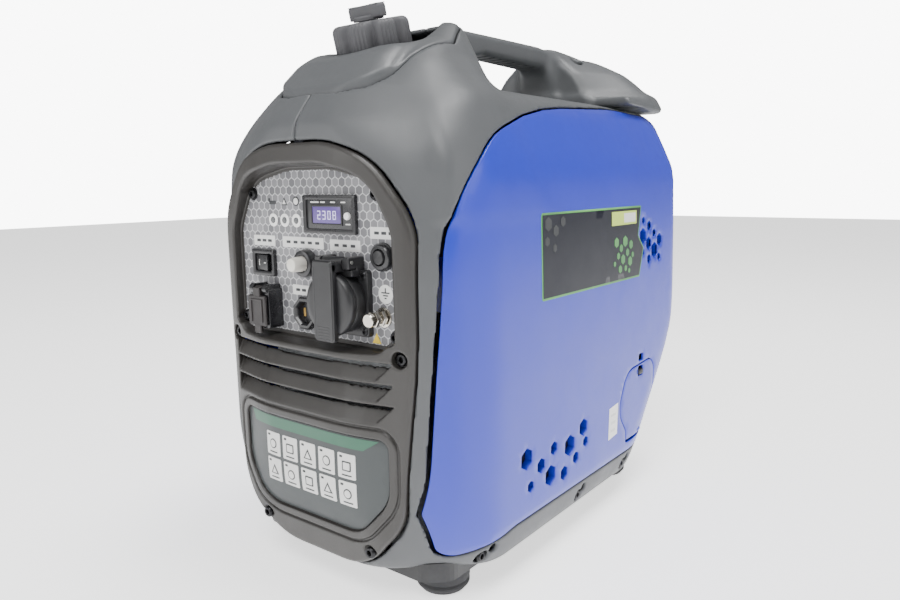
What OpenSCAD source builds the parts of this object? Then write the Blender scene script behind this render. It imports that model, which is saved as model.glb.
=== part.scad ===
// Portable inverter generator in a suitcase-style housing with a carry handle.
// X runs to the right, Y to the rear and Z up; the ground is at z = 0.

/* [Housing] */
// Width across the two side panels
body_w = 276; // [272:1:280]
// Distance from the centre plane to the front face
front_y = 218; // [217:1:219]
// Distance from the centre plane to the rear face
rear_y = 219; // [218:1:220]
// Height of the underside of the housing
under_z = 18; // [17:1:20]
// Height of the shoulders beside the hand gap
shoulder_z = 412; // [408:1:413]
// Height of the ridge between the filler deck and the handle
ridge_z = 465; // [464:1:466]
// Wall thickness of the moulded shells
wall = 3; // [2.5:0.5:3.5]
// Thickness of the coloured side panels
panel_t = 2.4; // [2:0.2:2.6]
// Gap left around every inset panel
seam = 0.5; // [0.4:0.1:0.8]

/* [Carry handle] */
// Width of the grip
grip_w = 36; // [32:1:38]
// Height of the grip's underside
grip_under_z = 446; // [444:1:448]

/* [Control panel] */
// Depth of the control panel behind the crown of the front face
panel_recess = 17; // [16:1:18]
// Thickness of the panel plate
plate_t = 2.5; // [2:0.5:3]
// Side of the square flange of the mains socket
socket_w = 50; // [49:1:51]
// Radius of the mains socket's plug recess
socket_r = 19.5; // [19:0.5:20]
// Depth of the mains socket's plug recess
socket_depth = 17.5; // [16:0.5:18]
// Radius of the mains socket's hinged lid
lid_r = 24; // [23:0.5:24.5]

/* [Fuel cap] */
// Radius over the cap's grip lobes
cap_r = 32; // [31:0.5:32]
// Height of the cap
cap_h = 24; // [22:1:25]
// Forward tilt of the filler neck
cap_tilt = 15; // [13:1:16]
// Radius of the filler neck
neck_r = 24; // [23:0.5:25]

/* [Louvres and vents] */
// Number of louvre slats in the bezel
slats = 3; // [2:1:3]
// Height from one slat to the next
slat_pitch = 16; // [15:1:17]

/* [Feet] */
// Radius of a rubber foot
foot_r = 22; // [20:1:23]
// Half the distance between the left and right feet
foot_x = 84; // [82:1:88]
// Distance of the front feet from the centre plane
foot_y = 150; // [146:1:152]
// Distance of the rear feet from the centre plane
rear_foot_y = 146; // [142:1:148]

/* [Engine] */
// Radius of the crankshaft
shaft_r = 10; // [9:1:11]
// Radius of the flywheel fan
fan_r = 68; // [64:1:70]
// Radius of the recoil pulley's rope groove
pulley_r = 30; // [28:1:32]

/* [Hidden] */
$fn = 48;

shell_colour = [0.30, 0.31, 0.32];
bezel_colour = [0.27, 0.26, 0.25];
blue = [0.13, 0.20, 0.75];
black = [0.06, 0.06, 0.07];
mid_grey = [0.38, 0.38, 0.38];
steel = [0.70, 0.70, 0.68];
cast = [0.55, 0.56, 0.57];
half_w = body_w / 2;
far = 600;                          // longer than the whole object
fit = 0.06;                         // radial clearance of a shaft in its bore

// ---- outlines: corners are [across, up, corner radius], counter-clockwise ----
function unit(v) = v / norm(v);
function xy(c) = [c[0], c[1]];
function at(c, i) = c[(i + len(c)) % len(c)];
function short_way(a) = a > 180 ? a - 360 : a < -180 ? a + 360 : a;
function mirrored(c) = concat(c, [for (i = [len(c) - 1:-1:0]) [-c[i][0], c[i][1], c[i][2]]]);
function inset(c, d) = [for (i = [0:len(c) - 1])
    let (p = xy(c[i]),
         before = unit(p - xy(at(c, i - 1))),
         after = unit(xy(at(c, i + 1)) - p),
         n1 = [-before[1], before[0]],
         n2 = [-after[1], after[0]],
         q = p + (n1 + n2) * d / (1 + n1 * n2),
         convex = before[0] * after[1] - before[1] * after[0] > 0)
    [q[0], q[1], max(c[i][2] + (convex ? -d : d), 0.4)]];
function rounded(c, step = 15) = [for (i = [0:len(c) - 1])
    let (p = xy(c[i]),
         a = unit(xy(at(c, i - 1)) - p),
         b = unit(xy(at(c, i + 1)) - p),
         half = acos(a * b) / 2,
         r = c[i][2],
         m = p + unit(a + b) * r / sin(half),
         s = p + a * r / tan(half) - m,
         t = p + b * r / tan(half) - m,
         start = atan2(s[1], s[0]),
         sweep = short_way(atan2(t[1], t[0]) - start),
         n = max(1, ceil(abs(sweep) / step)))
    for (k = [0:n]) m + r * [cos(start + sweep * k / n), sin(start + sweep * k / n)]];

module prism_x(c, w = far, step = 15)
    rotate([90, 0, 90]) linear_extrude(w, center = true) polygon(rounded(c, step));
module prism_y(c, w = far, step = 15)
    rotate([90, 0, 0]) linear_extrude(w, center = true) polygon(rounded(c, step));
module prism_z(c, h) linear_extrude(h) polygon(rounded(c));
// Block from one corner to the opposite one
module block(low, high) translate(low) cube(high - low);
// Cylinder along +Y that starts at the given point
module along_y(p, r, h) translate(p) rotate([-90, 0, 0]) cylinder(r = r, h = h);
// Cylinder along +X that starts at the given point
module along_x(p, r, h) translate(p) rotate([0, 90, 0]) cylinder(r = r, h = h);

// ---- housing form ----
plan_c = mirrored([[44, -front_y, 160], [103, 13 - front_y, 40], [126, 32 - front_y, 30],
    [half_w - 1, 76 - front_y, 60], [half_w, 10, 400], [half_w, 196, 16],
    [132, rear_y - 5, 10], [94, rear_y, 30]]);
side_c = [[14 - front_y, under_z, 16], [164, under_z, 12], [178, 42, 20], [198, 112, 80],
    [rear_y, 200, 120], [rear_y - 4, 330, 90], [rear_y - 17, shoulder_z - 2, 30],
    [-80, shoulder_z - 4, 60], [28 - front_y, 401, 24], [5 - front_y, 372, 24],
    [-front_y, 338, 60], [-front_y, 90, 120]];
front_c = mirrored([[126, under_z, 8], [half_w - 3, 58, 30], [half_w, 170, 160],
    [half_w - 6, 338, 70], [108, 393, 40], [64, shoulder_z, 30]]);
hump_side_c = [[-186, 300, 3], [20, 300, 3], [10, 392, 20], [-22, 422, 30], [-38, 460, 14],
    [-66, ridge_z, 16], [-104, 442, 30], [-150, 424, 20], [-186, 402, 8]];
hump_front_c = mirrored([[126, 300, 3], [128, 334, 60], [108, 389, 40], [70, 426, 40],
    [46, 458, 16], [30, ridge_z, 60]]);
// Raised collar around the fuel cap
collar_side_c = [[-192, 380, 3], [-68, 380, 3], [-68, 452, 3], [-78, 452, 3],
    [-98, 441, 20], [-150, 431, 16], [-170, 422, 12], [-192, 398, 6]];
collar_front_c = mirrored([[51, 380, 3], [50, 404, 8], [40, 434, 10], [38, 470, 6]]);
module body_form(d) difference() {
    intersection() {
        prism_x(inset(side_c, d));
        prism_y(inset(front_c, d));
        prism_z(inset(plan_c, d), far);
    }
    // slanted corners beside the arched top and the rounded bottom of the bezel
    for (s = [-1, 1]) {
        corner_cut([s * 107, 16 - front_y, 318], s, -48, 20, d);
        corner_cut([s * 102, 13 - front_y, 72], s, -48, -27, d);
        corner_cut([s * 124, 126, 35], s, 27, -20, d);
    }
}
// Half space beyond a leaning plane; its normal points to the given side and heading
module corner_cut(p, side, heading, tilt, d) translate(p)
    rotate([0, 0, side > 0 ? heading : 180 - heading]) rotate([0, -tilt, 0])
        translate([-d, -far, -far]) cube(2 * far);
module hump_form(d) intersection() {
    prism_x(inset(hump_side_c, d));
    prism_y(inset(hump_front_c, d));
    prism_z(inset(plan_c, d + 0.8), far);
}
module collar_form(d) intersection() {
    prism_x(inset(collar_side_c, d));
    prism_y(inset(collar_front_c, d));
    prism_z(inset(plan_c, d + 1.7), far);
}
module housing(d) difference() {
    union() {
        body_form(d);
        hump_form(d);
    }
    // sloping front shoulders
    for (s = [-1, 1]) corner_cut([s * 96.4, -172, 383], s, -56.4, 42, d);
}

// ---- openings in the housing ----
bezel_c = mirrored([[52, 27, 60], [93, 74, 50], [105, 200, 300], [105, 300, 60],
    [72, 344, 60], [34, 357, 80]]);
panel_c = mirrored([[76, 205, 12], [90, 216, 14], [89, 292, 30], [70, 330, 40], [26, 340, 60]]);
plate_c = mirrored([[54, 60, 34], [82, 92, 30], [82, 139, 8]]);
side_panel_c = [[-182, 42, 16], [-120, 52, 60], [144, 50, 10], [166, 66, 30], [190, 122, 60],
    [210, 200, 90], [208, 340, 60], [188, 393, 14], [110, 396, 200], [-60, 385, 400],
    [-150, 354, 105], [-188, 300, 110], [-194, 190, 200], [-199, 84, 12]];
rear_cover_c = mirrored([[70, 78, 16], [96, 100, 20], [96, 352, 24], [70, 382, 24]]);
tray_c = mirrored([[92, 34 - front_y, 14], [108, 50 - front_y, 16], [108, 116, 16], [92, 132, 14]]);
deck_c = mirrored([[34, -193, 16], [50, -182, 16], [50, -90, 20], [36, -70, 20]]);
door_c = [[89, 61, 2], [137, 61, 2], [139, 75, 8], [156, 98, 24], [150, 140, 16], [84, 136, 24],
    [68, 98, 24], [87, 75, 8]];
face_y = panel_recess - front_y;    // front of the control panel
cap_base = [0, -124, 433];

module tilted(p) translate(p) rotate([cap_tilt, 0, 0]) children();
// Hexagonal vent holes through a side wall; each is [y, z, radius]
upper_vents = [[104, 262, 6.5], [118, 254, 4], [119, 270, 8], [133, 262, 6.5], [134, 280, 5],
    [147, 272, 4], [148, 254, 8], [134, 246, 4.5], [161, 264, 6.5], [160, 246, 4], [120, 286, 3.5]];
lower_vents = [[-103, 104, 8.5], [-80, 91, 6], [-64, 77, 8.5], [-96, 78, 4.5], [-59, 100, 5.5],
    [-31, 94, 9], [-6, 104, 7.5], [-1, 89, 4.5], [-19, 79, 5], [-40, 71, 6]];
module vent_holes(side, list)
    for (v = list) translate([side * (half_w - 20), v[0], v[1]]) rotate([0, 90, 0])
        cylinder(r = v[2], h = 60, center = true, $fn = 6);

// Recess in the left panel for the starter grip
cup = [-half_w, -112, 214];
cup_size = [26, 62, 40];
// Recess in the left panel for the engine switch
knob = [-half_w, -112, 130];
knob_r = 20;
door_hinge = [half_w - 6, 66];      // x and z of the oil door's hinge line
saddle_y = 134;                     // front face of the handle's saddle

module shell_half(side) color(shell_colour) difference() {
    intersection() {
        difference() {
            housing(0);
            housing(wall);
        }
        block([side > 0 ? 0 : -far, -far, 0], [side > 0 ? far : 0, far, far]);
    }
    // window and pocket for the front bezel
    translate([0, -front_y, 0]) prism_y(inset(bezel_c, -seam), 60);
    // window for the rear cover
    translate([0, rear_y, 0]) prism_y(inset(rear_cover_c, -seam), 70);
    // window behind the side panel
    translate([side * 150, 0, 0]) prism_x(inset(side_panel_c, -seam), 124);
    // opening for the base tray
    prism_z(inset(tray_c, -seam), 60);
    // opening for the filler deck
    translate([0, 0, 388]) prism_z(inset(deck_c, -seam), 200);
    // holes of the sill screws
    for (p = sill_points) {
        along_x([p[0] > 0 ? 90 : -150, p[1], p[2]], 2.6, 60);
        along_x([p[0] > 0 ? p[0] - 3.4 : p[0] - 20, p[1], p[2]], 5.2, 23.4);
    }
    // seats of the handle ends
    block([-grip_w / 2 - seam, -34 - seam, 415], [grip_w / 2 + seam, 60, far]);
    block([-far, saddle_y - seam, 399], [far, far, far]);
}
sill_points = [for (s = [-1, 1], y = [-150, -4, 92]) [s * (half_w - 8), y, 36]];

module right_shell() shell_half(1);
module left_shell() shell_half(-1);

// ---- side panels ----
module side_skin(side) intersection() {
    difference() {
        housing(0.2);
        housing(0.2 + panel_t);
    }
    translate([side * half_w, 0, 0]) prism_x(side_panel_c, 100);
    translate([side * 150, 0, 0]) cube([120, far, 2 * far], center = true);
}
module right_side_panel() color(blue) difference() {
    side_skin(1);
    vent_holes(1, upper_vents);
    vent_holes(1, lower_vents);
    translate([half_w, 0, 0]) prism_x(inset(door_c, -seam - 0.4), 60);
}
module left_side_panel() color(blue) difference() {
    side_skin(-1);
    vent_holes(-1, upper_vents);
    vent_holes(-1, lower_vents);
    block(cup - [20, cup_size[1] / 2 + seam, cup_size[2] / 2 + seam],
          cup + [cup_size[0], cup_size[1] / 2 + seam, cup_size[2] / 2 + seam]);
    along_x(knob - [20, 0, 0], knob_r + 6 + seam, 60);
}
module oil_door() color(blue) {
    difference() {
        intersection() {
            difference() {
                housing(0.2);
                housing(0.2 + panel_t);
            }
            translate([half_w, 0, 0]) prism_x(door_c, 60);
        }
        block([half_w - 20, 112, 126], [half_w + 20, 124, 136]);
        block([half_w - 20, 60, 50], [half_w + 20, 170, door_hinge[1] - 3]);
    }
    // hinge knuckles on the inner side of the door's lower edge
    for (y = [101, 117]) {
        block([door_hinge[0] - 2, y, door_hinge[1]], [door_hinge[0] + 2, y + 8, door_hinge[1] + 9]);
        along_y([door_hinge[0], y, door_hinge[1]], 2.4, 8);
    }
}
module oil_door_latch() color(black) {
    block([half_w - 5.5, 112.6, 127], [half_w - 0.8, 123.4, 132.5]);
    block([half_w - 10, 114, 123], [half_w - 5.5, 122, 132.5]);
}

// ---- bezel, louvres and plates ----
louvre_top = 193;
louvre_x = 88;
// Crowned layer of the front face from depth a to depth b
module front_layer(a, b) difference() {
    intersection() {
        prism_z(inset(plan_c, a), far);
        prism_x(inset(side_c, a));
        block([-far, -far, 0], [far, -150, far]);
    }
    prism_z(inset(plan_c, b), far);
}
module front_bezel() color(bezel_colour) difference() {
    union() {
        intersection() {
            front_layer(-1, 4);
            prism_y(bezel_c);
        }
        // tube that carries the control panel
        intersection() {
            translate([0, face_y + 2, 0]) prism_y(inset(panel_c, -3.5), 28);
            prism_z(inset(plan_c, 1), far);
        }
        // seat behind the instruction plate
        intersection() {
            front_layer(3, 9);
            prism_y(inset(plate_c, -3));
        }
    }
    // opening for the control panel, with a ledge behind it
    translate([0, face_y - 30 + plate_t, 0]) prism_y(inset(panel_c, -seam), 60);
    translate([0, face_y, 0]) prism_y(inset(panel_c, 4), 60);
    // pocket of the instruction plate
    intersection() {
        front_layer(-3, 5);
        prism_y(inset(plate_c, -seam));
    }
    // louvre slots
    for (i = [0:slats - 1])
        louvre_slot(louvre_top - i * slat_pitch);
    // screw holes
    for (p = bezel_points) {
        along_y([p[0], -front_y - 10, p[1]], 5.5, bezel_screw_y(p) + front_y + 10);
        along_y([p[0], -front_y - 2, p[1]], 2.4, 40);
    }
    for (p = panel_points) {
        along_y([p[0], -front_y - 10, p[1]], 4.8, face_y + front_y + 10.5);
        along_y([p[0], face_y, p[1]], 2.2, 20);
    }
}
function bezel_screw_y(p) = 4 - front_y + p[0] * p[0] / 750;
// Wedge-shaped slot under one louvre slat
module louvre_slot(z) translate([0, 4 - front_y, 0]) rotate([90, 0, 90])
    linear_extrude(2 * louvre_x, center = true)
        polygon([[-9, z - 11], [8, z - 2], [26, z - 2], [26, z - 10], [8, z - 10], [-9, z - 15]]);
bezel_points = [[-93, 201.5], [93, 201.5], [-61, 46], [61, 46]];
module screw(p, r, l) difference() {
    union() {
        along_y(p, r, 3);
        along_y(p, r * 0.5 - 0.4, l);
    }
    along_y(p - [0, 1, 0], r * 0.45, 2.4);
}
module bezel_screws() color(black)
    for (p = bezel_points) screw([p[0], bezel_screw_y(p) - 3, p[1]], 4.6, 12);
module instruction_plate() color([0.33, 0.35, 0.35]) intersection() {
    front_layer(1, 4.9);
    prism_y(plate_c);
}

module control_panel() color([0.75, 0.75, 0.76]) difference() {
    translate([0, face_y + plate_t / 2, 0]) prism_y(panel_c, plate_t);
    panel_hole_box(display_at, [54, 26]);
    panel_hole_box(eco_at, [24, 18]);
    panel_hole_box(port_at, [20, 30]);
    panel_hole(breaker_at, 8);
    panel_hole(dc_at, 9);
    panel_hole(reset_at, 7);
    panel_hole(ground_at, 3.2);
    panel_hole(socket_at, 21.5);
    for (x = lamp_x) panel_hole([x, lamp_z], 2.6);
    for (p = panel_points) panel_hole(p, 2.4);
}
module panel_hole(p, r) along_y([p[0], face_y - 5, p[1]], r, 20);
module panel_hole_box(p, s)
    translate([p[0], face_y, p[1]]) cube([s[0], 20, s[1]], center = true);
panel_points = [[-69, 318.7], [69, 318.7], [-85, 216], [85, 216]];
module panel_screws() color(black)
    for (p = panel_points) screw([p[0], face_y - 3.1, p[1]], 4.4, 7);

// ---- display and lamps ----
display_at = [22, 303.5];
lamp_x = [-45, -31, -17];
lamp_z = 298;
module display_housing() color(black) difference() {
    translate([display_at[0], face_y, display_at[1]]) {
        translate([0, -1.25, 0]) cube([57, 2.4, 29], center = true);
        translate([0, 7, 0]) cube([53, 14.2, 25], center = true);
    }
    block([display_at[0] - 18, face_y - 5, display_at[1] - 7],
          [display_at[0] + 13, face_y + 0.5, display_at[1] + 6]);
    along_y([display_at[0] + 20, face_y - 5, display_at[1] - 1], 3 + fit, 5.5);
}
module display_window() color([0.45, 0.2, 0.6, 0.9])
    block([display_at[0] - 17.8, face_y - 2, display_at[1] - 6.8],
          [display_at[0] + 12.8, face_y + 0.4, display_at[1] + 5.8]);
module mode_button() color("white")
    along_y([display_at[0] + 20, face_y - 4, display_at[1] - 1], 3, 3.2);
module indicator_lamps() color([0.5, 0.5, 0.52]) for (x = lamp_x) {
    along_y([x, face_y - 1.5, lamp_z], 2.5, 8);
}

// ---- switch, breaker and buttons ----
eco_at = [-58, 263];
module eco_switch_body() color(black) difference() {
    union() {
        translate([eco_at[0], face_y - 1.5, eco_at[1]]) cube([28, 3, 22], center = true);
        translate([eco_at[0], face_y + 8, eco_at[1]]) cube([23, 16, 17], center = true);
    }
    translate([eco_at[0], face_y - 1, eco_at[1]]) cube([20, 12, 14], center = true);
}
module eco_rocker() color(black) translate([eco_at[0], face_y + 0.5, eco_at[1]])
    linear_extrude(12.8, center = true)
        polygon([[-8.5, -1], [-8.5, -3.2], [0, -3.6], [8.5, -6.2], [8.5, -4], [4, 2.6], [-4, 2.6]]);

breaker_at = [-6, 265];
module breaker_body() color(black) difference() {
    union() {
        along_y([breaker_at[0], face_y - 7, breaker_at[1]], 11, 7);
        along_y([breaker_at[0], face_y - 1, breaker_at[1]], 7.8, 24);
    }
    along_y([breaker_at[0], face_y - 8, breaker_at[1]], 6 + fit, 12);
}
module breaker_button() color([0.9, 0.92, 0.95])
    along_y([breaker_at[0], face_y - 18, breaker_at[1]], 6, 21.5);

reset_at = [75, 274];
module reset_button_body() color(black) difference() {
    union() {
        along_y([reset_at[0], face_y - 5, reset_at[1]], 10.5, 5);
        along_y([reset_at[0], face_y - 1, reset_at[1]], 6.8, 20);
    }
    along_y([reset_at[0], face_y - 6, reset_at[1]], 5.5 + fit, 14);
}
module reset_button() color(mid_grey)
    along_y([reset_at[0], face_y - 7, reset_at[1]], 5.5, 12);

// ---- sockets ----
dc_at = [-10, 225];
module dc_socket() color(black) difference() {
    union() {
        translate([dc_at[0], face_y - 2, dc_at[1]]) rotate([90, 22.5, 0])
            cylinder(r = 14, h = 4, center = true, $fn = 8);
        along_y([dc_at[0], face_y - 1, dc_at[1]], 8.8, 18);
    }
    block([dc_at[0] - 5.5, face_y - 5, dc_at[1] - 3.5], [dc_at[0] - 3.5, face_y + 8, dc_at[1] + 3.5]);
    block([dc_at[0] + 1, face_y - 5, dc_at[1] - 1], [dc_at[0] + 7, face_y + 8, dc_at[1] + 1]);
}

port_at = [-51, 228];
port_d = 14;
module port_housing() color(black) difference() {
    union() {
        block([port_at[0] - 12, face_y - port_d, port_at[1] - 17],
              [port_at[0] + 12, face_y, port_at[1] + 15]);
        block([port_at[0] - 9, face_y - 1, port_at[1] - 14],
              [port_at[0] + 9, face_y + 16, port_at[1] + 12]);
        for (s = [-1, 1]) translate([port_at[0] + s * 8, face_y - port_d + 2, port_at[1] + 15])
            rotate([0, 90, 0]) cylinder(r = 4, h = 5, center = true);
    }
    block([port_at[0] - 7, face_y - port_d - 1, port_at[1] - 11],
          [port_at[0] + 7, face_y + 6, port_at[1] + 7]);
    along_x([port_at[0] - 12, face_y - port_d + 1, port_at[1] + 15], 1.2, 24);
    block([port_at[0] - 5, face_y - port_d - 3, port_at[1] + 10.5],
          [port_at[0] + 5, face_y - port_d + 7, port_at[1] + 20]);
}
module port_cover() color([0.25, 0.22, 0.22]) {
    block([port_at[0] - 11, face_y - port_d - 3.4, port_at[1] - 15],
          [port_at[0] + 11, face_y - port_d - 0.4, port_at[1] + 10]);
    block([port_at[0] - 4, face_y - port_d - 3.4, port_at[1] - 21],
          [port_at[0] + 4, face_y - port_d - 0.4, port_at[1] - 15]);
    block([port_at[0] - 4, face_y - port_d - 3.4, port_at[1] + 10],
          [port_at[0] + 4, face_y - port_d - 0.4, port_at[1] + 15]);
    along_x([port_at[0] - 4, face_y - port_d + 1, port_at[1] + 15], 2.6, 8);
    block([port_at[0] - 4, face_y - port_d - 3.4, port_at[1] + 13],
          [port_at[0] + 4, face_y - port_d + 1, port_at[1] + 16]);
    along_x([port_at[0] - 10.4, face_y - port_d + 1, port_at[1] + 15], 1.15, 20.8);
}

socket_at = [38, 239];
flange_t = 5;
socket_front = face_y - flange_t - 9;
strap_out = 13;                     // front of the lid's strap before the socket's rim
hinge_at = [face_y - flange_t - 8, socket_at[1] + 31];
knuckle_r = 4;                      // radius of the lid's hinge knuckle
module ac_socket_base() color(black) difference() {
    union() {
        translate([socket_at[0], face_y - flange_t / 2, socket_at[1]])
            cube([socket_w, flange_t, socket_w], center = true);
        along_y([socket_at[0], socket_front, socket_at[1]], 23, 10);
        along_y([socket_at[0], face_y - 1, socket_at[1]], 21.2, 16);
        // hinge block above the socket
        block([socket_at[0] - 18, socket_front, socket_at[1] + 20],
              [socket_at[0] + 18, face_y - 0.02, socket_at[1] + 30]);
        for (s = [-1, 1]) block([socket_at[0] + s * 14.5 - 3.5, hinge_at[0] - 4, socket_at[1] + 26],
                                [socket_at[0] + s * 14.5 + 3.5, face_y - 0.02, hinge_at[1] + 4]);
    }
    along_y([socket_at[0], socket_front - 1, socket_at[1]], socket_r, socket_depth + 1);
    for (s = [-1, 1])
        along_y([socket_at[0] + s * 9.5, socket_front, socket_at[1]], 2.6, socket_depth + 8);
    along_x([socket_at[0] - 20, hinge_at[0], hinge_at[1]], 1.5 + fit, 40);
    // room for the lid's knuckle between the two lugs
    along_x([socket_at[0] - 11, hinge_at[0], hinge_at[1]], knuckle_r + 1, 22);
    for (x = [-1, 1], z = [-1, 1])
        along_y([socket_at[0] + x * 21, face_y - 10, socket_at[1] + z * 21], 1.8, 12);
}
module ac_socket_lid() color([0.2, 0.2, 0.2]) difference() {
    union() {
        along_y([socket_at[0], socket_front - 8.4, socket_at[1]], lid_r, 8);
        block([socket_at[0] - 10.6, socket_front - strap_out, socket_at[1] - 27],
              [socket_at[0] + 10.6, socket_front - 6.4, hinge_at[1]]);
        block([socket_at[0] - 10.6, socket_front - strap_out, socket_at[1] + 25],
              [socket_at[0] + 10.6, hinge_at[0] + 1, hinge_at[1]]);
        along_x([socket_at[0] - 10.6, hinge_at[0], hinge_at[1]], knuckle_r, 21.2);
    }
    along_x([socket_at[0] - 20, hinge_at[0], hinge_at[1]], 1.5 + fit, 40);
    block([socket_at[0] - 12, socket_front - 0.4, socket_at[1] - 30],
          [socket_at[0] + 12, face_y, hinge_at[1] - knuckle_r - 0.4]);
}
module lid_hinge_pin() color(steel)
    along_x([socket_at[0] - 18, hinge_at[0], hinge_at[1]], 1.5, 36);

ground_at = [74, 230];
module ground_terminal() color(steel) difference() {
    union() {
        along_y([ground_at[0], face_y - 16, ground_at[1]], 2.9, 30);
        along_y([ground_at[0], face_y - 18, ground_at[1]], 5, 4);
        along_y([ground_at[0], face_y - 1.5, ground_at[1]], 7.5, 1.5);
        for (y = [-6, -12.5]) translate([ground_at[0], face_y + y, ground_at[1]]) rotate([-90, 0, 0])
            cylinder(r = 6, h = 4, $fn = 6);
    }
    block([ground_at[0] - 6, face_y - 19, ground_at[1] - 0.6],
          [ground_at[0] + 6, face_y - 16.5, ground_at[1] + 0.6]);
}

// ---- top of the housing ----
module filler_deck() color(shell_colour) difference() {
    intersection() {
        union() {
            difference() {
                collar_form(0);
                collar_form(wall);
            }
            tilted(cap_base - [0, 0, 9]) cylinder(r = cap_r + 7, h = 50);
        }
        collar_form(0);
        translate([0, 0, 394]) prism_z(deck_c, 200);
    }
    tilted(cap_base - [0, 0, 6]) cylinder(r = cap_r + 3, h = 60);
    tilted(cap_base) translate([0, 0, -60]) cylinder(r = neck_r + 1.2, h = 120);
}
grip_c = [[-34, 431, 3], [10, grip_under_z, 12], [122, grip_under_z - 1, 14],
    [saddle_y + 6, 408, 8], [rear_y - 16, 403, 4], [rear_y - 10, 438, 20], [rear_y - 34, 455, 40],
    [90, ridge_z + 3, 120], [-34, ridge_z, 4]];
saddle_side_c = [[saddle_y, 402, 3], [rear_y - 16, 400, 4], [rear_y - 12, 432, 20],
    [rear_y - 34, 454, 30], [saddle_y, 462, 10]];
saddle_front_c = mirrored([[112, 380, 2], [112, 401, 6], [104, 414, 14], [70, 436, 30], [38, 453, 30],
    [12, 464, 10]]);
module carry_handle() color(shell_colour) difference() {
    union() {
        intersection() {
            prism_x(grip_c);
            prism_y(mirrored([[grip_w / 2, 380, 2], [grip_w / 2, ridge_z + 2.5, 12]]));
        }
        intersection() {
            prism_x(saddle_side_c);
            prism_y(saddle_front_c);
            prism_z(inset(plan_c, 3), far);
        }
    }
    for (p = handle_points) {
        translate([p[0], p[1], 428]) cylinder(r = 6, h = 60);
        translate([p[0], p[1], 380]) cylinder(r = 2.3, h = 60);
    }
}
handle_points = [[-34, 158], [34, 158]];
module handle_screws() color(black) for (p = handle_points) difference() {
    union() {
        translate([p[0], p[1], 428.1]) cylinder(r = 4.6, h = 3);
        translate([p[0], p[1], 404]) cylinder(r = 2.1, h = 25);
    }
    translate([p[0], p[1], 429]) cylinder(r = 2, h = 5);
}
module sill_screws() color(black) for (p = sill_points) translate(p)
    rotate([0, p[0] > 0 ? 90 : -90, 0]) difference() {
        union() {
            translate([0, 0, -3.3]) cylinder(r = 4.6, h = 2.6);
            translate([0, 0, -14]) cylinder(r = 2.3, h = 12);
        }
        translate([0, 0, -2]) cylinder(r = 2, h = 3);
    }

// ---- fuel cap ----
lobes = 8;
module fuel_cap() color(mid_grey) tilted(cap_base) difference() {
    union() {
        cylinder(r = cap_r - 3, h = cap_h - 2);
        cylinder(r = cap_r - 7, h = cap_h);
        for (i = [0:lobes - 1]) rotate(i * 360 / lobes) translate([cap_r - 8, 0, 0])
            cylinder(r = 8, h = cap_h - 1);
    }
    translate([0, 0, -1]) cylinder(r = neck_r + 3, h = cap_h - 4);
    translate([0, 0, cap_h - 4]) cylinder(r = 4 + fit, h = 10);
}
module fuel_cap_liner() color([0.15, 0.15, 0.15]) tilted(cap_base)
    translate([0, 0, cap_h - 10.5]) cylinder(r = neck_r + 2.4, h = 5);
module vent_lever() color(mid_grey) tilted(cap_base) {
    translate([0, 0, cap_h - 3.6]) cylinder(r = 4, h = 5);
    translate([0, 0, cap_h + 0.4]) cylinder(r = 9, h = 8);
    translate([-17, -6.5, cap_h + 1.4]) cube([34, 13, 11]);
}
tank_low = [-96, -140, 306];
tank_high = [96, 40, 392];
module tank_form(d) intersection() {
    prism_x([[tank_low[1] + d, tank_low[2] + d, 16], [tank_high[1] - d, tank_low[2] + d, 16],
        [tank_high[1] - d, tank_high[2] - d, 14], [tank_low[1] + d, tank_high[2] - 12 - d, 14]]);
    prism_y(mirrored([[tank_high[0] - d, tank_low[2] + d, 16], [tank_high[0] - d, 360, 20],
        [72 - d, tank_high[2] - d, 14]]));
}
module fuel_tank() color([0.12, 0.12, 0.13]) difference() {
    union() {
        tank_form(0);
        tilted(cap_base) translate([0, 0, -66]) cylinder(r = neck_r, h = 78);
    }
    tank_form(2.5);
    tilted(cap_base) translate([0, 0, -80]) cylinder(r = neck_r - 2.5, h = 100);
}

// ---- base and feet ----
module base_tray() color(black) difference() {
    prism_z_at(tray_c, under_z, 16);
    prism_z_at(inset(tray_c, 4), under_z + 4, 20);
}
module prism_z_at(c, z, h) translate([0, 0, z]) prism_z(c, h);
module feet() color([0.16, 0.16, 0.17]) for (x = [-1, 1], y = [-foot_y, rear_foot_y])
    translate([x * foot_x, y, 0]) difference() {
        union() {
            cylinder(r = foot_r - 3, h = 3);
            translate([0, 0, 3]) cylinder(r = foot_r, h = under_z - 3);
        }
        translate([0, 0, -1]) cylinder(r = 4, h = 8);
    }

// ---- rear cover and exhaust ----
exhaust_at = [-52, 254];
boss_y = 228;                       // rear face of the exhaust grille; equals the front extent
module rear_cover() color(black) difference() {
    union() {
        intersection() {
            difference() {
                body_form(0);
                body_form(wall);
            }
            translate([0, rear_y, 0]) prism_y(rear_cover_c, 68);
        }
        translate([0, boss_y - 12, 0])
            prism_y(mirrored([[66, 196, 14], [74, 220, 16], [74, 286, 18], [60, 306, 18]]), 24);
    }
    translate([0, boss_y - 17, 0])
        prism_y(mirrored([[62, 200, 12], [70, 222, 14], [70, 284, 16], [58, 302, 16]]), 28);
    along_y([exhaust_at[0], 190, exhaust_at[1]], 15, 60);
    for (z = [214:12:288], x = [-12, 40]) block([x - (x < 0 ? 12 : 22), 190, z],
        [x + (x < 0 ? 22 : 22), 240, z + 6]);
    for (z = [104:12:176]) block([-70, 180, z], [70, 240, z + 6]);
}
module exhaust_outlet() color(steel) difference() {
    along_y([exhaust_at[0], 196, exhaust_at[1]], 12, 30);
    along_y([exhaust_at[0], 195, exhaust_at[1]], 10, 34);
}
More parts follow.
